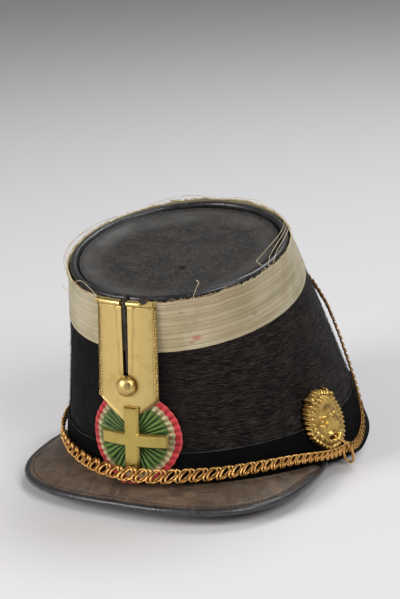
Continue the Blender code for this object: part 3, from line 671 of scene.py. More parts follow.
def make_crown_wall():
    """The stiff wall, lumpy under its fur, with its plain inside."""
    b = bearings(300)
    low = rim_height(b) / height_at_top(np.radians(b))
    high = 1.0 - 3.6 / wall_length(b)
    rows = []
    for share in np.linspace(0.0, 1.0, 56):
        t = low + (high - low) * share
        lumps = ripple(b * 1.4, t * 120.0, 3, longest=34.0, shortest=5.0) * 0.22
        rows.append(wall(b, t, lumps * min(1.0, share * 8.0)))
    inside = [wall(b, low + (high - low) * share, -WALL) for share in (1.0, 0.66, 0.33, 0.0)]
    rows[0][:, 2] = rim_height(b)
    inside[-1][:, 2] = rim_height(b)
    rows += inside
    faces = grid(len(rows), len(b), ring=True, closed_section=True)
    is_inside = (np.arange(len(faces)) // len(b) >= 55).astype(int)
    piece("crown_plush", np.concatenate(rows), faces, PLUSH, "plush", ["crown_body"], inner=is_inside,
          inner_look=INSIDE)


def make_nap(count=46000):
    """The fur of the plush: thin blades brushed level round the crown, lifting a little at their tips."""
    draw = np.random.default_rng(11)
    b = draw.uniform(-180.0, 180.0, count)
    length_up = wall_length(b)
    low = HEAD_BAND_WIDTH / length_up - 0.004
    high = 1.0 - (BAND_WIDTH - 0.6) / length_up
    t = low + (high - low) * draw.uniform(0.0, 1.0, count)
    drift = 0.32 * ripple(b, t * 110.0, 21, longest=40.0, shortest=9.0)
    turn = drift + draw.normal(0.0, 0.16, count)
    long = draw.uniform(2.6, 6.8, count)
    lift = draw.gamma(1.6, 0.22, count) + 0.10
    per_degree = np.linalg.norm(wall(b + 0.5, t) - wall(b - 0.5, t), axis=1)
    rows = []
    for along, rise, wide in ((0.0, 0.05, 1.0), (0.5, 0.75, 0.8), (1.0, 1.0, 0.0)):
        at_b = b + long * along * np.cos(turn) / per_degree
        at_t = t + long * (along - 0.25 * along**2) * np.sin(turn) / length_up
        middle = wall(at_b, at_t, 0.12 + lift * rise)
        rows.append((middle, wide))
    normal = wall(b, t, 1.0) - wall(b, t)
    ahead = rows[1][0] - rows[0][0]
    across = np.cross(normal, ahead)
    across = unit(across)
    half = draw.uniform(0.045, 0.095, count)[:, None]
    left = [middle - across * half * wide for middle, wide in rows[:2]]
    right = [middle + across * half * wide for middle, wide in rows[:2]]
    points = np.stack([left[0], right[0], left[1], right[1], rows[2][0]], axis=1).reshape(-1, 3)
    start = np.arange(count)[:, None] * 5
    faces = np.concatenate([start + [0, 1, 3], start + [0, 3, 2], start + [2, 3, 4]])
    # Painted light: the hairs are painted lighter towards +X, nearly black towards -X and middling behind, as
    # the light falls. The rest of their tone is random.
    painted_side_light = np.where(np.abs(b) < 120.0, np.clip((b + 30.0) / 80.0, 0.0, 1.0), 0.5)
    shade = np.clip((draw.beta(0.8, 3.4, count) + 0.16 * drift) * (0.10 + 1.20 * painted_side_light), 0.0, 1.0)
    piece("plush_nap", points, faces, HAIR, "plush", fields={"shade": np.repeat(shade, 5)})


def make_head_band():
    """The smooth velvet strip round the lower edge, with the thread line where it is sewn to the plush."""
    b = bearings(240)
    low = rim_height(b) / height_at_top(np.radians(b))
    high = HEAD_BAND_WIDTH / wall_length(b)
    rows = []
    for share in np.linspace(0.0, 1.0, 22):
        t = low + (high - low) * share
        out = 1.15 + 0.12 * ripple(b, t * 110.0, 5, longest=30.0, shortest=7.0)
        rows.append(wall(b, t, out - 0.35 * max(0.0, share - 0.94) / 0.06))
    inside = [wall(b, low + (high - low) * share, 0.3) for share in (1.0, 0.5, 0.0)]
    rows[0][:, 2] = rim_height(b)
    inside[-1][:, 2] = rim_height(b)
    rows += inside
    faces = grid(len(rows), len(b), True, True)
    piece("velvet_band", np.concatenate(rows), faces, VELVET, "velvet", ["head_band"])
    wobble = 0.35 * ripple(b, b * 0.0, 8, longest=60.0, shortest=8.0)
    path = wall(b, high + wobble / wall_length(b), 0.95)
    thick = 0.20 + 0.12 * ripple(b, b * 0.0, 9, longest=24.0, shortest=4.0)
    points, faces = bar(path, thick, 6, closed=True)
    piece("band_seam", points, faces, SEAM, "velvet")


def ribbon_top(b):
    """How far the ribbon's upper edge stands above the top oval: lower in front, proud behind."""
    return -1.6 - 0.7 * np.cos(np.radians(b)) + 0.35 * ripple(b, b * 0.0, 13, longest=40.0, shortest=5.0)


def make_ribbon():
    """The galloon: one woven strip round the top of the crown, ribbed lengthwise, loose at its upper edge."""
    count = 420
    b = bearings(count)
    length_up = wall_length(b)
    low = 1.0 - BAND_WIDTH / length_up
    high = 1.0 + ribbon_top(b) / length_up
    draw = np.random.default_rng(17)
    ragged = draw.normal(0.0, 0.22, count) / length_up
    steps = np.linspace(0.0, 1.0, 76)
    grooves = np.array([2.4, 6.9, 10.2, 14.6, 17.6, 21.3, 24.0, 27.2])
    front, back, across = [], [], []
    for share in steps:
        t = low + (high - low) * share + (ragged if share == 1.0 else 0.0)
        mm = share * BAND_WIDTH
        rib = 0.07 * math.cos(mm * 2.0 * math.pi / 0.97)
        groove = -0.22 * float(bell(mm, grooves, 0.35).sum())
        loose = 0.9 * max(0.0, (share - 0.8) / 0.2) ** 1.5
        wave = 0.16 * ripple(b, share * 30.0, 19, longest=46.0, shortest=8.0)
        slack = loose * (0.6 + 0.5 * ripple(b, b * 0.0, 23, longest=50.0, shortest=9.0))
        out = 0.55 + wave + slack - 0.15 * (share < 0.02)
        front.append(wall(b, t, out + 0.55 + rib + groove))
        back.append(wall(b, t, out))
        across.append(np.full(count, mm))
    rows = front + back[::-1]
    faces = grid(len(rows), count, True, True)
    row_of = np.arange(len(faces)) // count
    along = np.tile(b * 1.06, len(rows))
    across = np.concatenate(across + across[::-1])
    behind = (row_of >= len(steps) - 1).astype(int)
    made = piece(
        "galloon_ribbon", np.concatenate(rows), faces, RIBBON, "ribbon", ["galloon_band"],
        sharp=60.0, fields={"across": across, "along": along}, inner=behind, inner_look=RIBBON_BACK,
    )
    middle = wall(b, 1.0 - 0.5 * BAND_WIDTH / length_up, 1.0)


def make_frayed_edge(count=620):
    """Short broken threads along the ribbon's upper edge."""
    draw = np.random.default_rng(29)
    parts = []
    for _ in range(count):
        b = draw.uniform(-180.0, 180.0)
        rise = float(ribbon_top(np.array([b]))[0])
        long = draw.uniform(0.8, 3.4)
        lean = draw.normal(0.0, 1.1)
        route = []
        for share in (0.0, 0.5, 1.0):
            up = rise - 0.5 + long * share * 0.55
            out = 1.5 + 0.7 * share * draw.uniform(-0.8, 1.0)
            route.append(wall(b + lean * share * long * 0.9, 1.0 + up / float(wall_length(b)), out))
        parts.append(bar(np.array(route), 0.07, 3))
    joined_piece("frayed_edge", parts, FRAY, "ribbon")


# Loose threads of the ribbon: bearing, distance above the top oval, out.
LOOSE_THREADS = [
    [(-118, 0.4, 0.9), (-104, 2.6, 0.2), (-90, 3.6, 0.4), (-74, 3.8, 1.2), (-60, 2.8, 2.0),
     (-46, 0.6, 1.9), (-38, -4.0, 1.8)],
    [(-112, 0.2, 0.6), (-96, 1.8, -1.4), (-80, 2.9, -1.6), (-66, 2.9, 0.3), (-54, 1.0, 1.8), (-44, -2.0, 2.0)],
    [(-100, 0.6, 1.2), (-86, 2.4, 1.6), (-72, 2.2, 2.8), (-60, 0.6, 3.2), (-48, -2.6, 2.4)],
    [(-40, -5.5, 1.9), (-41, -7.0, 3.4), (-44, -7.6, 4.8), (-47, -6.6, 5.6)],
    [(-37, -1.2, 1.4), (-33, 1.6, 1.6), (-28, 2.4, 1.8), (-22, 1.2, 2.4), (-17, -1.0, 3.0), (-14, -3.4, 3.4)],
    [(34, -2.0, 1.6), (35, 0.6, 1.2), (36.5, 3.0, 0.6), (38, 5.0, -0.4), (37, 6.4, -1.2)],
    [(128, 1.6, 0.6), (120, 2.8, -1.0), (110, 2.8, -4.0), (100, 1.8, -7.6), (90, 0.6, -9.4), (82, 0.2, -9.0),
     (79, 0.6, -6.0), (77, -0.2, -2.0), (76, -1.4, 0.8)],
    [(126, 1.8, 1.0), (117, 3.0, 0.2), (106, 3.2, -2.0), (96, 2.2, -3.6), (88, 1.2, -3.4),
     (82, 0.6, -1.0), (78, -0.6, 1.0)],
    [(124, 1.4, 1.2), (114, 2.6, 1.0), (104, 2.6, -0.4), (95, 1.8, -1.4), (87, 0.8, -0.2), (82, -0.6, 1.4)],
    [(-172, 1.2, 0.8), (-160, 2.6, 1.2), (-148, 2.2, 0.9), (-136, 1.0, 1.2)],
    [(150, 1.0, 1.0), (158, 2.4, 1.6), (168, 2.2, 1.1), (176, 1.0, 1.4)],
]


def make_loose_threads():
    """Long threads that have come away from the ribbon and arch over the rim."""
    parts = []
    for route in LOOSE_THREADS:
        places = [wall(b, 1.0 + up / float(wall_length(b)), out) for b, up, out in route]
        path, _ = smooth_route(places, 40)
        parts.append(bar(path, 0.17, 5))
    joined_piece("loose_threads", parts, FRAY, "ribbon")


def make_rim():
    """The rolled leather edge: a full roll outside, and a flange that runs down to the sunk top."""
    b = bearings(260)
    turns = np.radians(np.linspace(-150.0, 150.0, 17))
    section = [(-2.1 + 2.0 * math.cos(q), -1.5 + 2.0 * math.sin(q)) for q in turns]
    section += [(-5.0, -2.0), (-5.8, -2.9), (-5.9, -3.8), (-4.8, -4.0)]
    sunk = 0.35 * (1.0 - np.cos(np.radians(b)))
    rows = []
    for out, rise in section:
        uneven = 0.12 * ripple(b, b * 0.0 + rise * 8.0, 31, longest=40.0, shortest=9.0)
        rows.append(wall(b, 1.0 + (rise + uneven - sunk) / wall_length(b), out))
    piece("top_roll", np.concatenate(rows), grid(len(rows), len(b), True, True), RIM_LEATHER, "rim_leather",
          ["crown_rim"], sharp=70.0)


def top_frame():
    """The top's middle, the vector to a point of its edge for each bearing, and its downward normal."""
    b = bearings(240)
    edge = wall(b, 1.0, -5.0)
    centre = edge.mean(axis=0)
    down = np.array([0.0, math.sin(TOP_TILT), -math.cos(TOP_TILT)])
    return b, edge - centre, centre, down


HOLE_BEARING = 31.0
HOLE_SHARE = 0.30


def make_top():
    """The sunk leather disc: it turns up to the rim, and has a small torn hole right of its middle."""
    b, reach, centre, down = top_frame()
    shares = np.concatenate([np.linspace(0.0, 0.86, 34)[1:], np.linspace(0.88, 1.0, 12)])
    stops, depths = (0.0, 0.4, 0.7, 0.82, 0.90, 0.96, 1.0), (4.8, 4.9, 4.7, 4.1, 3.1, 1.8, 0.9)
    hole_b = math.radians(HOLE_BEARING)
    hole = HOLE_SHARE * 54.0 * np.array([math.sin(hole_b), -math.cos(hole_b)])
    front, share_field = [], []
    for share in shares:
        x, y = 54.0 * share * np.sin(np.radians(b)), -54.0 * share * np.cos(np.radians(b))
        waves = 0.35 * ripple(x, y, 37, longest=60.0, shortest=9.0) * min(1.0, 4.0 * (1.0 - share) + 0.15)
        tear = np.hypot(x - hole[0], y - hole[1])
        pit = 1.3 * bell(tear, 0.0, 1.5) - 0.5 * bell(tear, 2.8, 1.2)
        depth = np.interp(share, stops, depths) + waves + pit
        front.append(centre + reach * share + down * depth[:, None])
        share_field.append(np.full(len(b), share))
    rows = front[::-1]
    points = np.concatenate(rows + [(centre + down * 4.8)[None]])
    cells = grid(len(rows), len(b), ring=True).tolist()
    last = (len(rows) - 1) * len(b)
    tip = len(points) - 1
    cells += [[last + k, last + (k + 1) % len(b), tip, tip] for k in range(len(b))]
    points, faces = slab(points, points + down * 1.6, cells)
    faces = [list(dict.fromkeys(f)) for f in faces]
    fields = np.concatenate(share_field[::-1] + [np.zeros(1)])
    fields = {"share": np.tile(fields, 2)}
    piece("top_disc", points, faces, TOP_LEATHER, "top_leather", ["crown_top"], fields=fields)
    draw = np.random.default_rng(41)
    parts = []
    hole_at = np.array([hole[0], hole[1] * math.cos(TOP_TILT), hole[1] * math.sin(TOP_TILT)])
    root = centre + down * 4.4 + hole_at
    for _ in range(26):
        lean = draw.normal(0.0, 1.0, 2) * 1.3
        tip = root - down * draw.uniform(0.4, 1.8) + np.array([lean[0], lean[1], 0.0])
        bow = (root + tip) / 2 - down * draw.uniform(0.2, 0.8)
        thread = np.array([root + [lean[0] * 0.4, lean[1] * 0.4, 0.0], bow, tip])
        parts.append(bar(thread, 0.12, 4, up=(1.0, 0.0, 0.2)))
    joined_piece("top_tuft", parts, TUFT, "top_leather")


# ---- The peak ---------------------------------------------------------------------------------


def peak_root_height(bearing):
    """Height at which the peak meets the wall: just above the crown's lower rim."""
    return rim_height(bearing) + PEAK_ROOT_RISE


def peak_outline(count, inset, end_bearing):
    """Count points along the peak's edge, from -X round the front to +X, in plan, set in by inset."""
    u = np.linspace(math.pi, 0.0, 361)
    power = 2.0 / PEAK_POWER
    x = PEAK_HALF_WIDTH * np.sign(np.cos(u)) * np.abs(np.cos(u)) ** power
    y = PEAK_SHOULDER_Y - PEAK_DEPTH * np.abs(np.sin(u)) ** power + HAT_Y
    end = wall_at(PEAK_END_BEARING, peak_root_height(PEAK_END_BEARING), PEAK_END_OUT)
    knee = PEAK_SHOULDER_Y + HAT_Y + 0.55 * (end[1] - PEAK_SHOULDER_Y - HAT_Y)
    s = np.linspace(0.0, 1.0, 16)[1:]
    tail_x = PEAK_HALF_WIDTH * (1.0 - s**2) + end[0] * s**2
    tail_y = (PEAK_SHOULDER_Y + HAT_Y) * (1.0 - s) ** 2 + 2.0 * knee * s * (1.0 - s) + end[1] * s**2
    x = np.concatenate([-tail_x[::-1], x, tail_x])
    y = np.concatenate([tail_y[::-1], y, tail_y])
    along = unit(np.stack([np.gradient(x), np.gradient(y)], axis=1))
    x = x - along[:, 1] * inset
    y = y + along[:, 0] * inset
    bearing = np.degrees(np.arctan2(x / BASE_HALF_WIDTH, (HAT_Y - y) / BASE_HALF_LENGTH))
    kept = np.abs(bearing) <= end_bearing
    x, y = x[kept], y[kept]
    at = np.concatenate([[0.0], np.cumsum(np.hypot(np.diff(x), np.diff(y)))])
    wanted = np.linspace(0.0, at[-1], count)
    return np.interp(wanted, at, x), np.interp(wanted, at, y)


def peak_edge_height(x):
    """Height of the leather's edge: it droops to both sides, most at the wearer's right."""
    share = x / PEAK_HALF_WIDTH
    return PEAK_EDGE_HEIGHT + PEAK_EDGE_TWIST * share - PEAK_EDGE_DROOP * share**2


STITCH_IN = 3.6


def peak_surface(columns, edge_distances, inner_rows):
    """Rows of points on the peak's upper face, from its root to its edge, the last at set distances from it."""
    b = np.linspace(-LEATHER_END_BEARING, LEATHER_END_BEARING, columns)
    arch = 0.5 * (1.0 + np.cos(math.pi * b / LEATHER_END_BEARING))
    root = wall_at(b, peak_root_height(b), PEAK_ROOT_OUT)
    x, y = peak_outline(columns, 1.6, LEATHER_END_BEARING)
    tip = np.stack([x, y, peak_edge_height(x)], axis=1)
    wide = np.linalg.norm(tip - root, axis=1)
    scale = np.minimum(1.0, wide / (1.4 * edge_distances[0]))
    inner_share = 1.0 - edge_distances[0] * scale / wide
    shares = [s * inner_share for s in np.linspace(0.0, 1.0, inner_rows)]
    shares += [1.0 - d * scale / wide for d in edge_distances[1:]]
    rows = []
    for share in shares:
        row = root + (tip - root) * share[:, None]
        row[:, 2] += PEAK_CAMBER * 4.0 * share * (1.0 - share) * arch
        buckle = 0.28 * ripple(row[:, 0], row[:, 1], 43, longest=70.0, shortest=12.0)
        row[:, 2] += buckle * np.sin(math.pi * share)
        rows.append(row)
    return rows, scale


def make_peak():
    """The leather peak, with the groove that its stitches lie in."""
    distances = (7.5, 6.4, 5.4, 4.7, 4.2, 3.8, 3.4, 3.0, 2.4, 1.6, 0.8, 0.0)
    columns = 220
    rows, scale = peak_surface(columns, distances, 18)
    for row, distance in zip(rows[17:], distances):
        row[:, 2] -= 0.4 * math.exp(-(((distance - STITCH_IN) / 0.45) ** 2)) * scale
    top = np.concatenate(rows)
    points, faces = slab(top, top - (0.0, 0.0, PEAK_THICK), grid(len(rows), columns))
    piece("peak_leather", points, faces, PEAK_LEATHER, "peak_leather", ["peak"])
    line, _ = peak_surface(columns, (7.5, STITCH_IN), 2)
    path, length = smooth_route(line[-1][6:-6:3], 900)
    parts = []
    pitch, share_sewn = 2.5, 0.72
    for start in np.arange(0.0, length - pitch, pitch):
        at = np.linspace(start, start + pitch * share_sewn, 5) / length * (len(path) - 1)
        stitch = np.stack([np.interp(at, np.arange(len(path)), column) for column in path.T], axis=1)
        stitch[:, 2] += np.array([-0.35, -0.05, 0.02, -0.05, -0.35])
        parts.append(bar(stitch, [0.14, 0.24, 0.26, 0.24, 0.14], 6))
    joined_piece("peak_stitches", parts, STITCH, "peak_leather")


def make_peak_edging():
    """The bound edge: a strip folded round the leather, flat above with a crease, and round outside."""
    count = 260
    x, y = peak_outline(count, 0.0, 90.0)
    along = unit(np.stack([np.gradient(x), np.gradient(y)], axis=1))
    away = np.stack([along[:, 1], -along[:, 0]], axis=1)
    section = [(0.0, -0.2), (0.08, 0.45), (0.4, 1.0), (0.95, 1.4), (1.5, 1.5), (1.85, 1.28), (2.2, 1.48)]
    section += [(3.0, 1.5), (3.7, 1.38), (4.05, 1.1), (4.05, -0.9), (3.0, -1.45), (1.6, -1.55)]
    section += [(0.7, -1.35), (0.15, -0.85)]
    share = np.linspace(-1.0, 1.0, count)
    taper = 1.0 - 0.4 * np.clip((np.abs(share) - 0.86) / 0.14, 0.0, 1.0)
    middle = peak_edge_height(x) - 0.5 * PEAK_THICK
    wavy = 0.12 * ripple(share * 160.0, share * 0.0, 47, longest=60.0, shortest=9.0)
    rows = []
    for inward, rise in section:
        shift = -away * (inward * taper)[:, None]
        level = middle + rise * EDGING_SWELL * taper + wavy
        rows.append(np.stack([x + shift[:, 0], y + shift[:, 1], level], axis=1))
    points = np.stack(rows, axis=1).reshape(-1, 3)
    sides = len(section)
    faces = grid(count, sides, ring=True).tolist()
    faces += [list(range(sides))[::-1], list(range(len(points) - sides, len(points)))]
    piece("peak_binding", points, faces, EDGE_LEATHER, "rim_leather", ["peak_edging"], sharp=50.0)


# ---- The plate, button, cockade and cross -----------------------------------------------------


def plate_out(height):
    """How far the plate's back stands off the wall: it rides over the band and the cockade."""
    share = (PLATE_TOP - height) / (PLATE_TOP - PLATE_TIP)
    return PLATE_OUT_TOP + (PLATE_OUT_TIP - PLATE_OUT_TOP) * share


ROLL_END_X = 9.4
ROLL_DEEP = 3.2


def plate_point_height(x):
    """Height of the plate's lower edge, which runs down from both shoulders to a point."""
    return PLATE_TIP + (PLATE_SHOULDER - PLATE_TIP) * np.abs(x) / PLATE_HALF_WIDTH


def plate_teeth(x, z):
    """The border's slanting teeth, 0 in a gap and 1 on a tooth."""
    return 0.5 + 0.5 * np.sin((z + np.abs(x) * 0.9) * 2.0 * math.pi / TOOTH_PITCH)


def plate_rise(x, z):
    """Relief of the plate's face: toothed borders, a raised middle, the rolled top and the bevelled point."""
    down = np.clip((PLATE_TOP - z) / (PLATE_TOP - SLOT_END), 0.0, 1.0)
    far = np.abs(x)
    edge = PLATE_HALF_WIDTH - far
    to_point = (z - plate_point_height(x)) * 0.79
    ridge = 4.9 - 2.1 * down
    above_button = np.clip((z - SLOT_END + 2.0) / 4.0, 0.0, 1.0)
    raised = 0.30 / (1.0 + np.exp((far - ridge) / 0.16)) * above_button
    raised = raised + 0.40 * bell(far, ridge, 0.38) * above_button
    toothed = 0.80 * plate_teeth(x, z) ** 2 * bell(edge, 1.0, 0.75, 4) * np.clip(to_point - 0.5, 0.0, 1.0)
    point_teeth = 0.5 + 0.5 * np.sin((z - far * 1.3) * 2.0 * math.pi / 1.7)
    toothed = toothed + 0.28 * point_teeth**2 * bell(to_point, 1.0, 0.75, 4) * (x < -3.0)
    crease = -0.08 * bell(edge, 2.3, 0.3)
    bevel = -0.75 * np.clip(1.0 - to_point / 1.9, 0.0, 1.0) * (x >= 0.0)
    rise = raised + toothed + crease + bevel
    for inside in (edge, to_point):
        rise = rise - 0.35 * np.clip(1.0 - inside / 0.35, 0.0, 1.0) ** 2
    rise = rise + 0.05 * ripple(x, z, 53, longest=26.0, shortest=6.0)
    drop = (PLATE_TOP - z - 0.5 * ROLL_DEEP) / (0.5 * ROLL_DEEP)
    roll = 0.15 + 1.75 * np.sqrt(np.clip(1.0 - drop**2, 0.0, 1.0))
    roll = roll * np.clip((ROLL_END_X - x) / 0.5, 0.0, 1.0) ** 0.5
    rolled = (PLATE_TOP - z < ROLL_DEEP) & (x < ROLL_END_X)
    rise = np.where(rolled, np.maximum(rise, roll), rise)
    return rise - 0.12 * bell(PLATE_TOP - z, ROLL_DEEP + 0.25, 0.3)


def make_loop_plate():
    """The slotted brass plate."""
    half_steps = np.concatenate([np.linspace(0.0, 0.30, 8)[:-1], np.linspace(0.30, 0.82, 14)[:-1],
                                 np.linspace(0.82, 1.0, 12)])
    rows_z = np.concatenate([np.linspace(PLATE_TOP, PLATE_TOP - 4.0, 22)[:-1],
                             np.arange(PLATE_TOP - 4.0, SLOT_END, -0.32)])
    rows_z = np.append(rows_z, [SLOT_END])
    slot_rows = len(rows_z) - 1
    body_z = np.arange(SLOT_END - 0.32, PLATE_SHOULDER + 2.0, -0.32)
    point_rows = np.linspace(0.0, 1.0, 44)
    front, back = [], []

    def add_row(z_of_x, x):
        z = z_of_x(x)
        rise = plate_rise(x, z)
        front.append(front_at(x, z, plate_out(z) + 1.0 + rise))
        back.append(front_at(x, z, plate_out(z) + 0.1))

    def columns_at(z):
        down = min(max((PLATE_TOP - z) / (PLATE_TOP - SLOT_END), 0.0), 1.0)
        slot = SLOT_HALF_TOP + (SLOT_HALF_END - SLOT_HALF_TOP) * down
        right = slot + (PLATE_HALF_WIDTH - slot) * half_steps
        return np.concatenate([-right[::-1], right])

    for z in list(rows_z) + list(body_z):
        add_row(lambda x, z=z: np.full(len(x), z), columns_at(z))
    start = PLATE_SHOULDER + 2.0
    for s in point_rows:
        add_row(lambda x, s=s: start + (plate_point_height(x) - start) * s, columns_at(SLOT_END))
    columns = 2 * len(half_steps)
    cells = grid(len(front), columns)
    cells = cells[:, ::-1]
    row, column = np.divmod(np.arange(len(cells)), columns - 1)
    cells = cells[~((row < slot_rows) & (column == len(half_steps) - 1))]
    front, back = np.concatenate(front), np.concatenate(back)
    points, faces = slab(front, back, cells)
    tarnish_and_shade = np.zeros(len(points))
    x, z = front[:, 0], front[:, 2]
    low = np.clip(-plate_rise(x, z) * 1.6 + 0.12, 0.0, 1.0)
    between = (1.0 - plate_teeth(x, z)) * bell(PLATE_HALF_WIDTH - np.abs(x), 0.8, 0.8, 4)
    # Painted shadow: a dark line painted under the rolled top.
    painted_shadow_under_roll = bell(PLATE_TOP - z, ROLL_DEEP, 0.5)
    tarnish_and_shade[: len(front)] = np.clip(low * 0.7 + 1.0 * between + 0.6 * painted_shadow_under_roll, 0.0, 1.0)
    piece("brass_plate", points, faces, PLATE, "plate_brass", ["loop_plate"], sharp=32.0, fields={"tarnish_and_shade": tarnish_and_shade})


def make_cord_in_slot():
    """The black twisted cord that shows in the plate's slot, and the frayed knot beside the rolled top."""
    heights = np.linspace(PLATE_TOP + 2.2, SLOT_END + 1.0, 60)
    core = front_at(0.1 + 0.2 * np.sin(heights * 0.25), heights, 1.75 + 0.012 * (PLATE_TOP - heights))
    core[:4, 1] += np.array([2.2, 1.2, 0.5, 0.1])
    outward = front_at(np.zeros(60), heights, 1.0) - front_at(np.zeros(60), heights, 0.0)
    _, side, above = frames_along(core, outward)
    parts = []
    for phase in (0.0, math.pi):
        turn = (PLATE_TOP - heights) * 2.0 * math.pi / CORD_LAY + phase
        strand = core + 0.62 * (np.cos(turn)[:, None] * side + np.sin(turn)[:, None] * above)
        path, _ = smooth_route(strand, 170)
        parts.append(bar(path, 0.72 + 0.08 * np.sin(np.arange(170) * 1.9), 7))
    joined_piece("slot_cord", parts, CORD, "velvet")
    draw = np.random.default_rng(59)
    knot = front_at(10.2, PLATE_TOP + 0.6, 3.6)
    parts = []
    for turn in range(3):
        phase = np.linspace(0.0, 2.0 * math.pi, 15)[:-1]
        tilt = draw.uniform(-0.8, 0.8)
        loop = [1.5 * np.cos(phase), 0.9 * np.sin(phase) * math.sin(tilt), 1.4 * np.sin(phase)]
        loop = np.stack(loop, axis=1)
        parts.append(bar(knot + loop + draw.normal(0.0, 0.25, 3), 0.62, 7, up=(0.0, 1.0, 0.1), closed=True))
    for _ in range(46):
        way = draw.normal(0.0, 1.0, 3) * (1.0, 0.7, 0.6) + (0.1, -0.1, 1.1)
        way = unit(way)
        tip = knot + way * draw.uniform(2.0, 4.4)
        bow = knot + way * 1.4 + draw.normal(0.0, 0.35, 3)
        parts.append(bar(np.array([knot, bow, tip]), [0.16, 0.13, 0.06], 4, up=(0.3, 1.0, 0.2)))
    joined_piece("cord_knot", parts, CORD, "velvet")


def make_button():
    """The domed button: a thin flange, a full dome and an old dent at its upper right."""
    start = plate_out(BUTTON_HEIGHT) + 2.0
    centre = front_at(BUTTON_X, BUTTON_HEIGHT, start)
    outward = front_at(BUTTON_X, BUTTON_HEIGHT, start + 1.0) - centre
    side = unit(np.cross(outward, (0.0, 0.0, 1.0)))
    side = side * (1.0 if side[0] > 0 else -1.0)
    up = np.cross(side, outward)
    up = up * (1.0 if up[2] > 0 else -1.0)
    profile = [(0.0, 0.0), (0.72, 0.0), (0.95, 0.1), (1.0, 0.35), (0.99, 0.7)]
    angles = np.radians(np.linspace(8.0, 90.0, 17))
    profile += [(0.97 * math.cos(q), 0.9 + 3.9 * math.sin(q)) for q in angles]
    sides = 48
    turns = np.arange(sides) * 2 * math.pi / sides
    points, tarnish_and_shade = [], []
    for radius, rise in profile:
        u, v = radius * BUTTON_RADIUS * np.cos(turns), radius * BUTTON_RADIUS * np.sin(turns)
        dent = 0.75 * bell(u, 2.9, 1.1) * bell(v, 1.7, 1.5) * (rise > 1.0)
        out = rise - dent
        points.append(centre + u[:, None] * side + v[:, None] * up + out[:, None] * outward)
        tarnish_and_shade.append(np.clip(dent * 1.1 + (0.5 if rise < 0.8 else 0.0), 0.0, 1.0) + 0.0 * u)
    faces = grid(len(profile), sides, ring=True).tolist()
    piece("brass_button", np.concatenate(points), faces, PLATE, "plate_brass", ["button"], sharp=60.0,
          fields={"tarnish_and_shade": np.concatenate(tarnish_and_shade)})


def cockade_out(height):
    """How far the cockade's back stands off the wall: its foot leans out over the peak's root."""
    share = (COCKADE_HEIGHT + COCKADE_RADIUS - height) / (2.0 * COCKADE_RADIUS)
    return COCKADE_OUT_TOP + (COCKADE_OUT_LOW - COCKADE_OUT_TOP) * share


def cockade_at(x, height, out):
    """Points on the cockade: below its fold it turns out over the peak, so it drops less."""
    below = np.maximum(COCKADE_FOLD - height, 0.0)
    lifted = height + below * (1.0 - COCKADE_FOLD_DOWN)
    return front_at(x, lifted, cockade_out(height) + out + below * COCKADE_FOLD_OUT)


PLEATS = 38
# The cockade's ribbons: name, look, inner and outer radius, out, depth of pleat, wave of edge.
COCKADE_RIBBONS = [
    ("cockade_red", RED, 14.5, 24.8, 0.15, 0.14, 0.12),
    ("cockade_white", WHITE, 10.8, 21.7, 0.45, 0.30, 0.28),
    ("cockade_green", GREEN, 1.6, 18.8, 0.70, 1.10, 0.25),
]


def make_cockade():
    """The cockade: three pleated ribbons in rings, green over white over red."""
    turns_per_pleat, thick = 14, 0.28
    count = PLEATS * turns_per_pleat
    turns = np.arange(count) * 2 * math.pi / count
    phase = (np.arange(count) % turns_per_pleat) / turns_per_pleat
    saw = np.where(phase < 0.72, phase / 0.72, (1.0 - phase) / 0.28)
    which = np.arange(count) // turns_per_pleat
    draw = np.random.default_rng(61)
    uneven = draw.uniform(0.55, 1.0, PLEATS)[which]
    for index, (name, look, inner, outer, out, pleat, wave) in enumerate(COCKADE_RIBBONS):
        slip = draw.normal(0.0, 0.16, PLEATS)[which]
        front, back, fold, edge = [], [], [], []
        for share in np.linspace(0.0, 1.0, 16):
            turned = turns + (0.02 + slip * 0.05) * share
            scallop = wave * (np.cos((phase - 0.45) * 2 * math.pi) + 0.5 * slip)
            round_u, round_v = outer * np.cos(turns), outer * np.sin(turns)
            scallop = scallop + 0.22 * ripple(round_u, round_v, 73, longest=30.0, shortest=7.0)
            radius = inner + (outer - inner) * share + scallop * share**3
            curl = np.clip((share - 0.8) / 0.2, 0.0, 1.0) ** 2 * 0.35 * (index == 0)
            x, z = COCKADE_X + radius * np.cos(turned), COCKADE_HEIGHT + radius * np.sin(turned)
            growth = (0.35 + 0.65 * share) if name == "cockade_green" else 1.0
            rise = pleat * saw * uneven * growth
            front.append(cockade_at(x, z, out + thick + rise - curl))
            back.append(cockade_at(x, z, out + rise - curl))
            # fold carries each pleat's height, which the look turns into painted light on the folds and painted
            # shade between them.
            fold.append(saw * uneven)
            edge.append(np.full(count, max(0.0, (share - 0.82) / 0.18)))
        cells = grid(16, count, ring=True)[:, ::-1]
        points, faces = slab(np.concatenate(front), np.concatenate(back), cells)
        fields = {"fold": np.tile(np.concatenate(fold), 2), "edge": np.tile(np.concatenate(edge), 2)}
        replaced = ["cockade"] if name == "cockade_green" else []
        made = piece(name, points, faces, look, "cockade_ribbon", replaced, sharp=75.0, fields=fields)


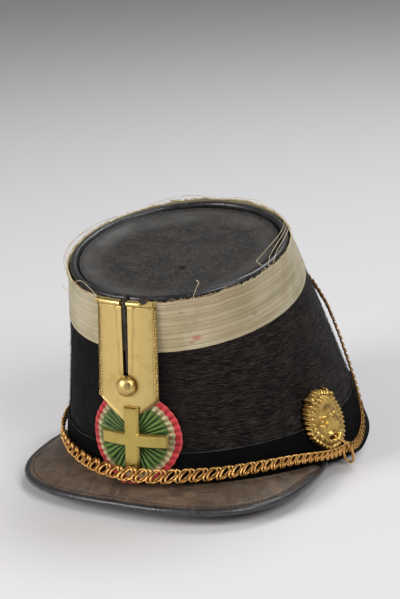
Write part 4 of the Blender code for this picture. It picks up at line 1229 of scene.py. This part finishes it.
def make_cross():
    """The cross: flat bars with bevelled edges, bent with the crown, dull at the ends."""
    bevel = 0.85
    half = CROSS_ARM_HALF
    stops = np.unique(np.round(np.concatenate([
        np.linspace(-CROSS_HALF, -CROSS_HALF + bevel, 4),
        np.linspace(-CROSS_HALF + bevel, -half, 16),
        np.linspace(-half, -half + bevel, 4),
        np.linspace(-half + bevel, 0.0, 5),
    ]), 4))
    stops = np.concatenate([stops, -stops[:-1][::-1]])
    squeeze = (CROSS_SHORT_HALF - half) / (CROSS_HALF - half)
    across_stops = np.where(stops < -half, -half + (stops + half) * squeeze, stops)
    u, v = np.meshgrid(across_stops, stops)
    to_bar = np.minimum(half - np.abs(u), CROSS_HALF - np.abs(v))
    to_arm = np.minimum(half - np.abs(v), np.where(u < 0, CROSS_SHORT_HALF, CROSS_HALF) - np.abs(u))
    inside = np.maximum(to_bar, to_arm)
    count = len(stops)
    cells = grid(count, count)
    middle = 0.25 * sum(inside.ravel()[cells[:, k]] for k in range(4))
    cells = cells[middle > 0.0]
    rise = 0.55 + (CROSS_THICK - 0.55) * np.clip(inside / bevel, 0.0, 1.0)
    rise = rise + 0.04 * ripple(u, v, 67, longest=20.0, shortest=5.0)
    front = front_at(CROSS_X + u, CROSS_HEIGHT + v, CROSS_OUT + rise).reshape(-1, 3)
    back = front_at(CROSS_X + u, CROSS_HEIGHT + v, CROSS_OUT + 0.0 * rise).reshape(-1, 3)
    used = np.unique(cells)
    place = np.zeros(count * count, int)
    place[used] = np.arange(len(used))
    points, faces = slab(front[used], back[used], place[cells])
    ends = np.maximum(np.abs(u), np.abs(v)).ravel()[used] / CROSS_HALF
    tarnish_and_shade = np.clip((ends - 0.86) * 3.2, 0.0, 0.55)
    low_arm = np.clip((-v.ravel()[used] - 8.0) / 12.0, 0.0, 0.35)
    tarnish_and_shade = np.tile(np.clip(tarnish_and_shade + low_arm, 0.0, 0.7), 2)
    piece("brass_cross", points, faces, CROSS, "plate_brass", ["cross"], sharp=25.0, fields={"tarnish_and_shade": tarnish_and_shade})


# ---- The lion masks, hooks and chain ----------------------------------------------------------


def hump(u, v, at_u, at_v, half_u, half_v, height, power=2.0):
    """A smooth rise of that height at a place."""
    return height * bell(u, at_u, half_u, power) * bell(v, at_v, half_v, power)


def lion_relief(u, v, turn, share):
    """Height of a lion's mask: mane locks round a broad face with brow, eyes, nose and open mouth."""
    far = np.abs(u)
    locks = 0.5 + 0.5 * np.cos(turn * 38.0 + 5.0 * share + 0.8 * np.sin(turn * 5.0))
    inner_locks = 0.5 + 0.5 * np.cos(turn * 26.0 - 5.0 * share + 0.8 * np.sin(turn * 4.0))
    mane = 2.3 * bell(share, 0.80, 0.24, 4) + 0.9 * locks * bell(share, 0.92, 0.09)
    mane = mane + 0.9 * inner_locks * bell(share, 0.73, 0.07) - 0.6 * bell(share, 0.83, 0.025)
    face = hump(u, v, 0.0, 0.3, 9.0, 12.2, 4.4, 4.0)
    forehead = hump(u, v, 0.0, 6.6, 5.6, 3.6, 1.3)
    furrow = -hump(u, v, 0.0, 4.6, 0.6, 2.6, 0.8)
    brow = hump(far, v - 0.15 * far, 4.2, 2.4, 3.2, 0.75, 1.9)
    socket = -hump(far, v, 4.5, 0.3, 2.5, 1.5, 2.7)
    eye = hump(far, v, 4.3, 0.2, 1.3, 0.85, 2.0)
    lid = hump(far, v, 4.4, -1.3, 2.2, 0.4, 0.8)
    nose = hump(u, v, 0.0, -1.6, 1.6, 4.6, 3.2, 2.6)
    nose_tip = hump(u, v, 0.0, -5.4, 2.4, 1.1, 1.9)
    nostril = -hump(far, v, 1.4, -6.1, 0.6, 0.45, 1.2)
    cheek = hump(far, v, 6.0, -3.6, 2.0, 2.4, 1.2)
    fold = -hump(far, v + 0.5 * far, 4.2, -2.6, 0.7, 2.2, 0.9)
    muzzle = hump(far, v, 2.5, -7.6, 2.3, 1.3, 2.4)
    mouth = -hump(u, v, 0.0, -9.8, 3.9, 0.9, 4.6, 3.0)
    jaw = hump(u, v, 0.0, -11.9, 3.6, 1.1, 2.0)
    beard = hump(u, v, 0.0, -14.6, 4.4, 2.2, 1.0) * (0.6 + 0.4 * np.cos(u * 3.2))
    ears = hump(far, v, 8.6, 12.4, 1.7, 1.9, 2.8) - hump(far, v, 8.4, 12.0, 0.7, 0.9, 1.8)
    crest = hump(u, v, 0.0, 13.2, 4.6, 2.4, 1.0) * (0.6 + 0.4 * np.cos(u * 3.0))
    total = mane + face + forehead + furrow + brow + socket + eye + lid + nose + nose_tip + nostril + cheek
    return total + fold + muzzle + mouth + jaw + beard + ears + crest


def make_lion(side, name, stands_for):
    """A lion's mask, stamped in relief, with a ragged edge of mane tufts."""
    count, rings = 340, 72
    middle = BOSS_HEIGHT + HOOK_HEIGHT[side] - HOOK_HEIGHT[1]
    bearing = side * BOSS_BEARING[side]
    one_degree = wall_at(bearing + 1.0, BOSS_HEIGHT) - wall_at(bearing, BOSS_HEIGHT)
    degrees_per_mm = 1.0 / np.linalg.norm(one_degree)
    turns = np.arange(count) * 2 * math.pi / count
    tufts = 0.028 * np.cos(turns * 38.0 + 5.0 + 0.8 * np.sin(turns * 5.0))
    tufts = tufts + 0.02 * np.cos(turns * 7.0 + 1.0)
    for ear in (57.0, 123.0):
        tufts = tufts + 0.10 * bell(turns, math.radians(ear), 0.10)

    def at(u, v, out):
        return wall_at(bearing + u * degrees_per_mm, middle + v, out)

    front, back, tarnish_and_shade = [], [], []
    for share in np.linspace(0.0, 1.0, rings)[1:] ** 0.9:
        spread = share * (0.97 + tufts * share**3)
        u, v = BOSS_HALF_WIDTH * spread * np.cos(turns), BOSS_HALF_HEIGHT * spread * np.sin(turns)
        relief = lion_relief(u, v, turns, share) * 0.98 + 0.5
        relief = relief * np.clip((1.0 - share) / 0.05, 0.15, 1.0) ** 0.5
        front.append(at(u, v, BOSS_OUT + 0.3 + relief))
        back.append(at(u, v, np.full(count, BOSS_OUT)))
        smooth = lion_relief(u * 0.94, v * 0.94, turns + 0.07, min(share * 0.94, 1.0)) + 0.5
        tarnish_and_shade.append(np.clip((smooth - relief) * 0.55 + 0.18, 0.0, 1.0))
    rows = len(front)
    middle_front = at(0.0, 0.0, BOSS_OUT + 0.3 + float(lion_relief(0.0, 0.0, 0.0, 0.0)) * 0.98 + 0.5)
    front = np.concatenate(front + [middle_front[None]])
    back = np.concatenate(back + [at(0.0, 0.0, BOSS_OUT)[None]])
    cells = grid(rows, count, ring=True).tolist()
    cells = [c[::-1] for c in cells]
    cells += [[rows * count, rows * count, k, (k + 1) % count] for k in range(count)]
    points, faces = slab(front, back, cells)
    faces = [list(dict.fromkeys(f)) for f in faces]
    fields = {"tarnish_and_shade": np.tile(np.concatenate([*tarnish_and_shade, [0.0]]), 2)}
    piece(name, points, faces, LION, "gilt_brass", [stands_for], sharp=60.0, fields=fields)


def make_hook(side, name, stands_for):
    """A wire hook: out of the mask's mouth, down to where the end links hang, and back up outside."""
    level = HOOK_HEIGHT[side]
    route = [(11.5, 4.6), (9.8, 6.6), (6.5, 7.4), (2.8, 7.6), (0.8, 7.2), (0.0, 6.2), (0.0, 4.2)]
    route += [(-0.9, 2.8), (-3.0, 2.4), (-6.8, 2.6), (-8.6, 4.0), (-8.4, 6.0), (-6.4, 7.6)]
    route += [(-3.0, 8.4), (0.4, 8.6)]
    bearing = side * HOOK_BEARING[side]
    from_mouth = side * (BOSS_BEARING[side] - HOOK_BEARING[side])
    places = []
    for rise, out in route:
        places.append(wall_at(bearing + from_mouth * min(max(rise / 10.0, 0.25), 1.0), level + rise, out))
    path, _ = smooth_route(places, 70)
    along = wall_at(bearing + 1.0, level) - wall_at(bearing, level)
    points, faces = bar(path, 0.78, 12, up=along)
    fields = {"tarnish_and_shade": np.full(len(points), 0.2)}
    piece(name, points, faces, GILT, "gilt_brass", [stands_for], fields=fields)


def make_back_hook():
    """The plain hook that carries the chain behind the crown."""
    route = [(10.0, 1.2), (4.0, 1.2), (-2.5, 1.2), (-4.6, 2.4), (-4.9, 4.4), (-4.0, 6.6)]
    route += [(-1.0, 7.4), (2.0, 7.6)]
    path, _ = smooth_route([wall_at(180.0, BACK_HOOK_HEIGHT + rise, out) for rise, out in route], 60)
    points, faces = bar(path, 0.68, 12, up=(1.0, 0.0, 0.0))
    fields = {"tarnish_and_shade": np.full(len(points), 0.3)}
    piece("hook_back", points, faces, GILT, "gilt_brass", ["chain_hook_back"], fields=fields)


def link_places(route, graduated):
    """Where each link's middle lies along a route, with its frame and its size."""
    surface = []
    for b, z, d in route:
        surface.append(np.concatenate([wall_at(b, z, d), wall_at(b, z, d + 1.0) - wall_at(b, z, d)]))
    steps = 3000
    path, length = smooth_route(surface, steps + 1)
    tangent, side, above = frames_along(path[:, :3], path[:, 3:])

    def size_at(share):
        large = math.sin(math.pi * min(share, 1.0)) ** LINK_GROWTH if graduated else 0.0
        return [table["small"] + (table["large"] - table["small"]) * large for table in LINK_SIZES]

    stops = [0.0]
    while stops[-1] < length:
        stops.append(stops[-1] + size_at(stops[-1] / length)[0])
    rows = [int(round(stop / stops[-1] * steps)) for stop in stops]
    return [(path[i, :3], tangent[i], side[i], above[i], size_at(i / steps)) for i in rows]


LINK_TWIST = math.radians(28.0)
LINK_LEAN = 0.72
LINK_THIN = 0.68
LINK_PAIR = 0.15


def make_chain(name, route, graduated, stands_for, tarnish):
    """A double curb chain: each link is two thin oval rings side by side, twisted across the next."""
    segments, sides = 30, 8
    phase = np.arange(segments) * 2 * math.pi / segments
    draw = np.random.default_rng(71)
    parts, tarnish_and_shade = [], []
    for centre, tangent, side, above, (pitch, width, wire) in link_places(route, graduated):
        thin = wire * LINK_THIN
        half_long, half_wide = 0.41 * pitch, 0.5 * width - 1.2 * thin
        roll = draw.normal(0.0, 0.05)
        for which in (-1.0, 1.0):
            twist = LINK_TWIST * np.cos(phase) + roll
            swing = half_wide * np.sin(phase)
            along = np.cos(phase) * half_long + LINK_LEAN * swing + which * LINK_PAIR * pitch
            turned = np.sin(twist)[:, None] * above - np.cos(twist)[:, None] * side
            path = centre + along[:, None] * tangent + swing[:, None] * turned
            points, faces = bar(path, thin, sides, up=above, closed=True)
            parts.append((points, faces))
            # Painted light and shade: each ring is painted darker on its side toward the crown and brighter on
            # its outer side, on top of the chain's tarnish.
            inward = (points - centre) @ above / (0.6 * half_wide + wire)
            tarnish_and_shade.append(np.clip(tarnish - 0.8 * inward, 0.0, 1.0))
    fields = {"tarnish_and_shade": np.concatenate(tarnish_and_shade)}
    joined_piece(name, parts, GILT, "gilt_brass", stands_for=[stands_for], sharp=80.0, fields=fields)


# ---- Floor, light and camera ------------------------------------------------------------------


def make_floor():
    mesh = bpy.data.meshes.new("floor")
    half = 6.0
    corners = [(-half, -half, 0), (half, -half, 0), (half, half, 0), (-half, half, 0)]
    mesh.from_pydata(corners, [], [(0, 1, 2, 3)])
    mesh.materials.append(FLOOR)
    floor = bpy.data.objects.new("floor", mesh)
    floor.location.z = -0.0002
    bpy.context.scene.collection.objects.link(floor)


def area_light(name, position, target, size, power, tint):
    data = bpy.data.lights.new(name, "AREA")
    data.shape = "RECTANGLE"
    data.size, data.size_y = size
    data.energy = power
    data.color = tint
    light = bpy.data.objects.new(name, data)
    light.location = position
    light.rotation_euler = (Vector(target) - Vector(position)).to_track_quat("-Z", "Y").to_euler()
    bpy.context.scene.collection.objects.link(light)


def make_light():
    world = bpy.data.worlds.new("studio")
    world.use_nodes = True
    background = world.node_tree.nodes["Background"]
    background.inputs["Color"].default_value = (0.95, 0.97, 1.0, 1.0)
    background.inputs["Strength"].default_value = 0.20
    bpy.context.scene.world = world
    middle = (0.0, 0.0, 0.06)
    area_light("key", (1.25, -0.65, 1.15), middle, (0.8, 0.8), 16.0, (1.0, 0.98, 0.96))
    area_light("front", (-0.75, -1.25, 0.75), middle, (0.7, 0.7), 17.5, (1.0, 0.98, 0.96))
    area_light("top", (0.15, 0.75, 1.35), middle, (1.0, 0.6), 12.0, (0.97, 0.98, 1.0))


CAMERA_AZIMUTH = 0.49037
CAMERA_ELEVATION = 0.3041
CAMERA_ROLL = -0.05325
CAMERA_DISTANCE = 0.94792
CAMERA_SIDE = -0.00722
CAMERA_RISE = 0.08111
CAMERA_LENS = 97.28


def make_camera():
    a, e, r = CAMERA_AZIMUTH, CAMERA_ELEVATION, CAMERA_ROLL
    back = Vector((math.sin(a) * math.cos(e), -math.cos(a) * math.cos(e), math.sin(e)))
    level = Vector((math.cos(a), math.sin(a), 0.0))
    upright = back.cross(level)
    position = level * CAMERA_SIDE + upright * CAMERA_RISE + back * CAMERA_DISTANCE
    position += Vector((0.0, HAT_Y * MM, 0.0))
    right = level * math.cos(r) + upright * math.sin(r)
    up = upright * math.cos(r) - level * math.sin(r)
    data = bpy.data.cameras.new("camera")
    data.lens = CAMERA_LENS
    data.sensor_width = 36.0
    data.clip_start, data.clip_end = 0.05, 50.0
    camera = bpy.data.objects.new("camera", data)
    turned = Matrix((right, up, back)).transposed()
    camera.matrix_world = Matrix.Translation(position) @ turned.to_4x4()
    bpy.context.scene.collection.objects.link(camera)
    bpy.context.scene.camera = camera


make_camera()
make_light()
make_floor()
make_crown_wall()
make_nap()
make_head_band()
make_ribbon()
make_frayed_edge()
make_loose_threads()
make_rim()
make_top()
make_peak()
make_peak_edging()
make_loop_plate()
make_cord_in_slot()
make_button()
make_cockade()
make_cross()
make_lion(1, "lion_left", "lion_boss_left")
make_lion(-1, "lion_right", "lion_boss_right")
make_hook(1, "hook_left", "chain_hook_left")
make_hook(-1, "hook_right", "chain_hook_right")
make_back_hook()
make_chain("chain_links_front", FRONT_ROUTE, True, "chain_front", 0.30)
make_chain("chain_links_back", BACK_ROUTE, False, "chain_back", 0.80)
bpy.context.scene.view_settings.view_transform = "Standard"
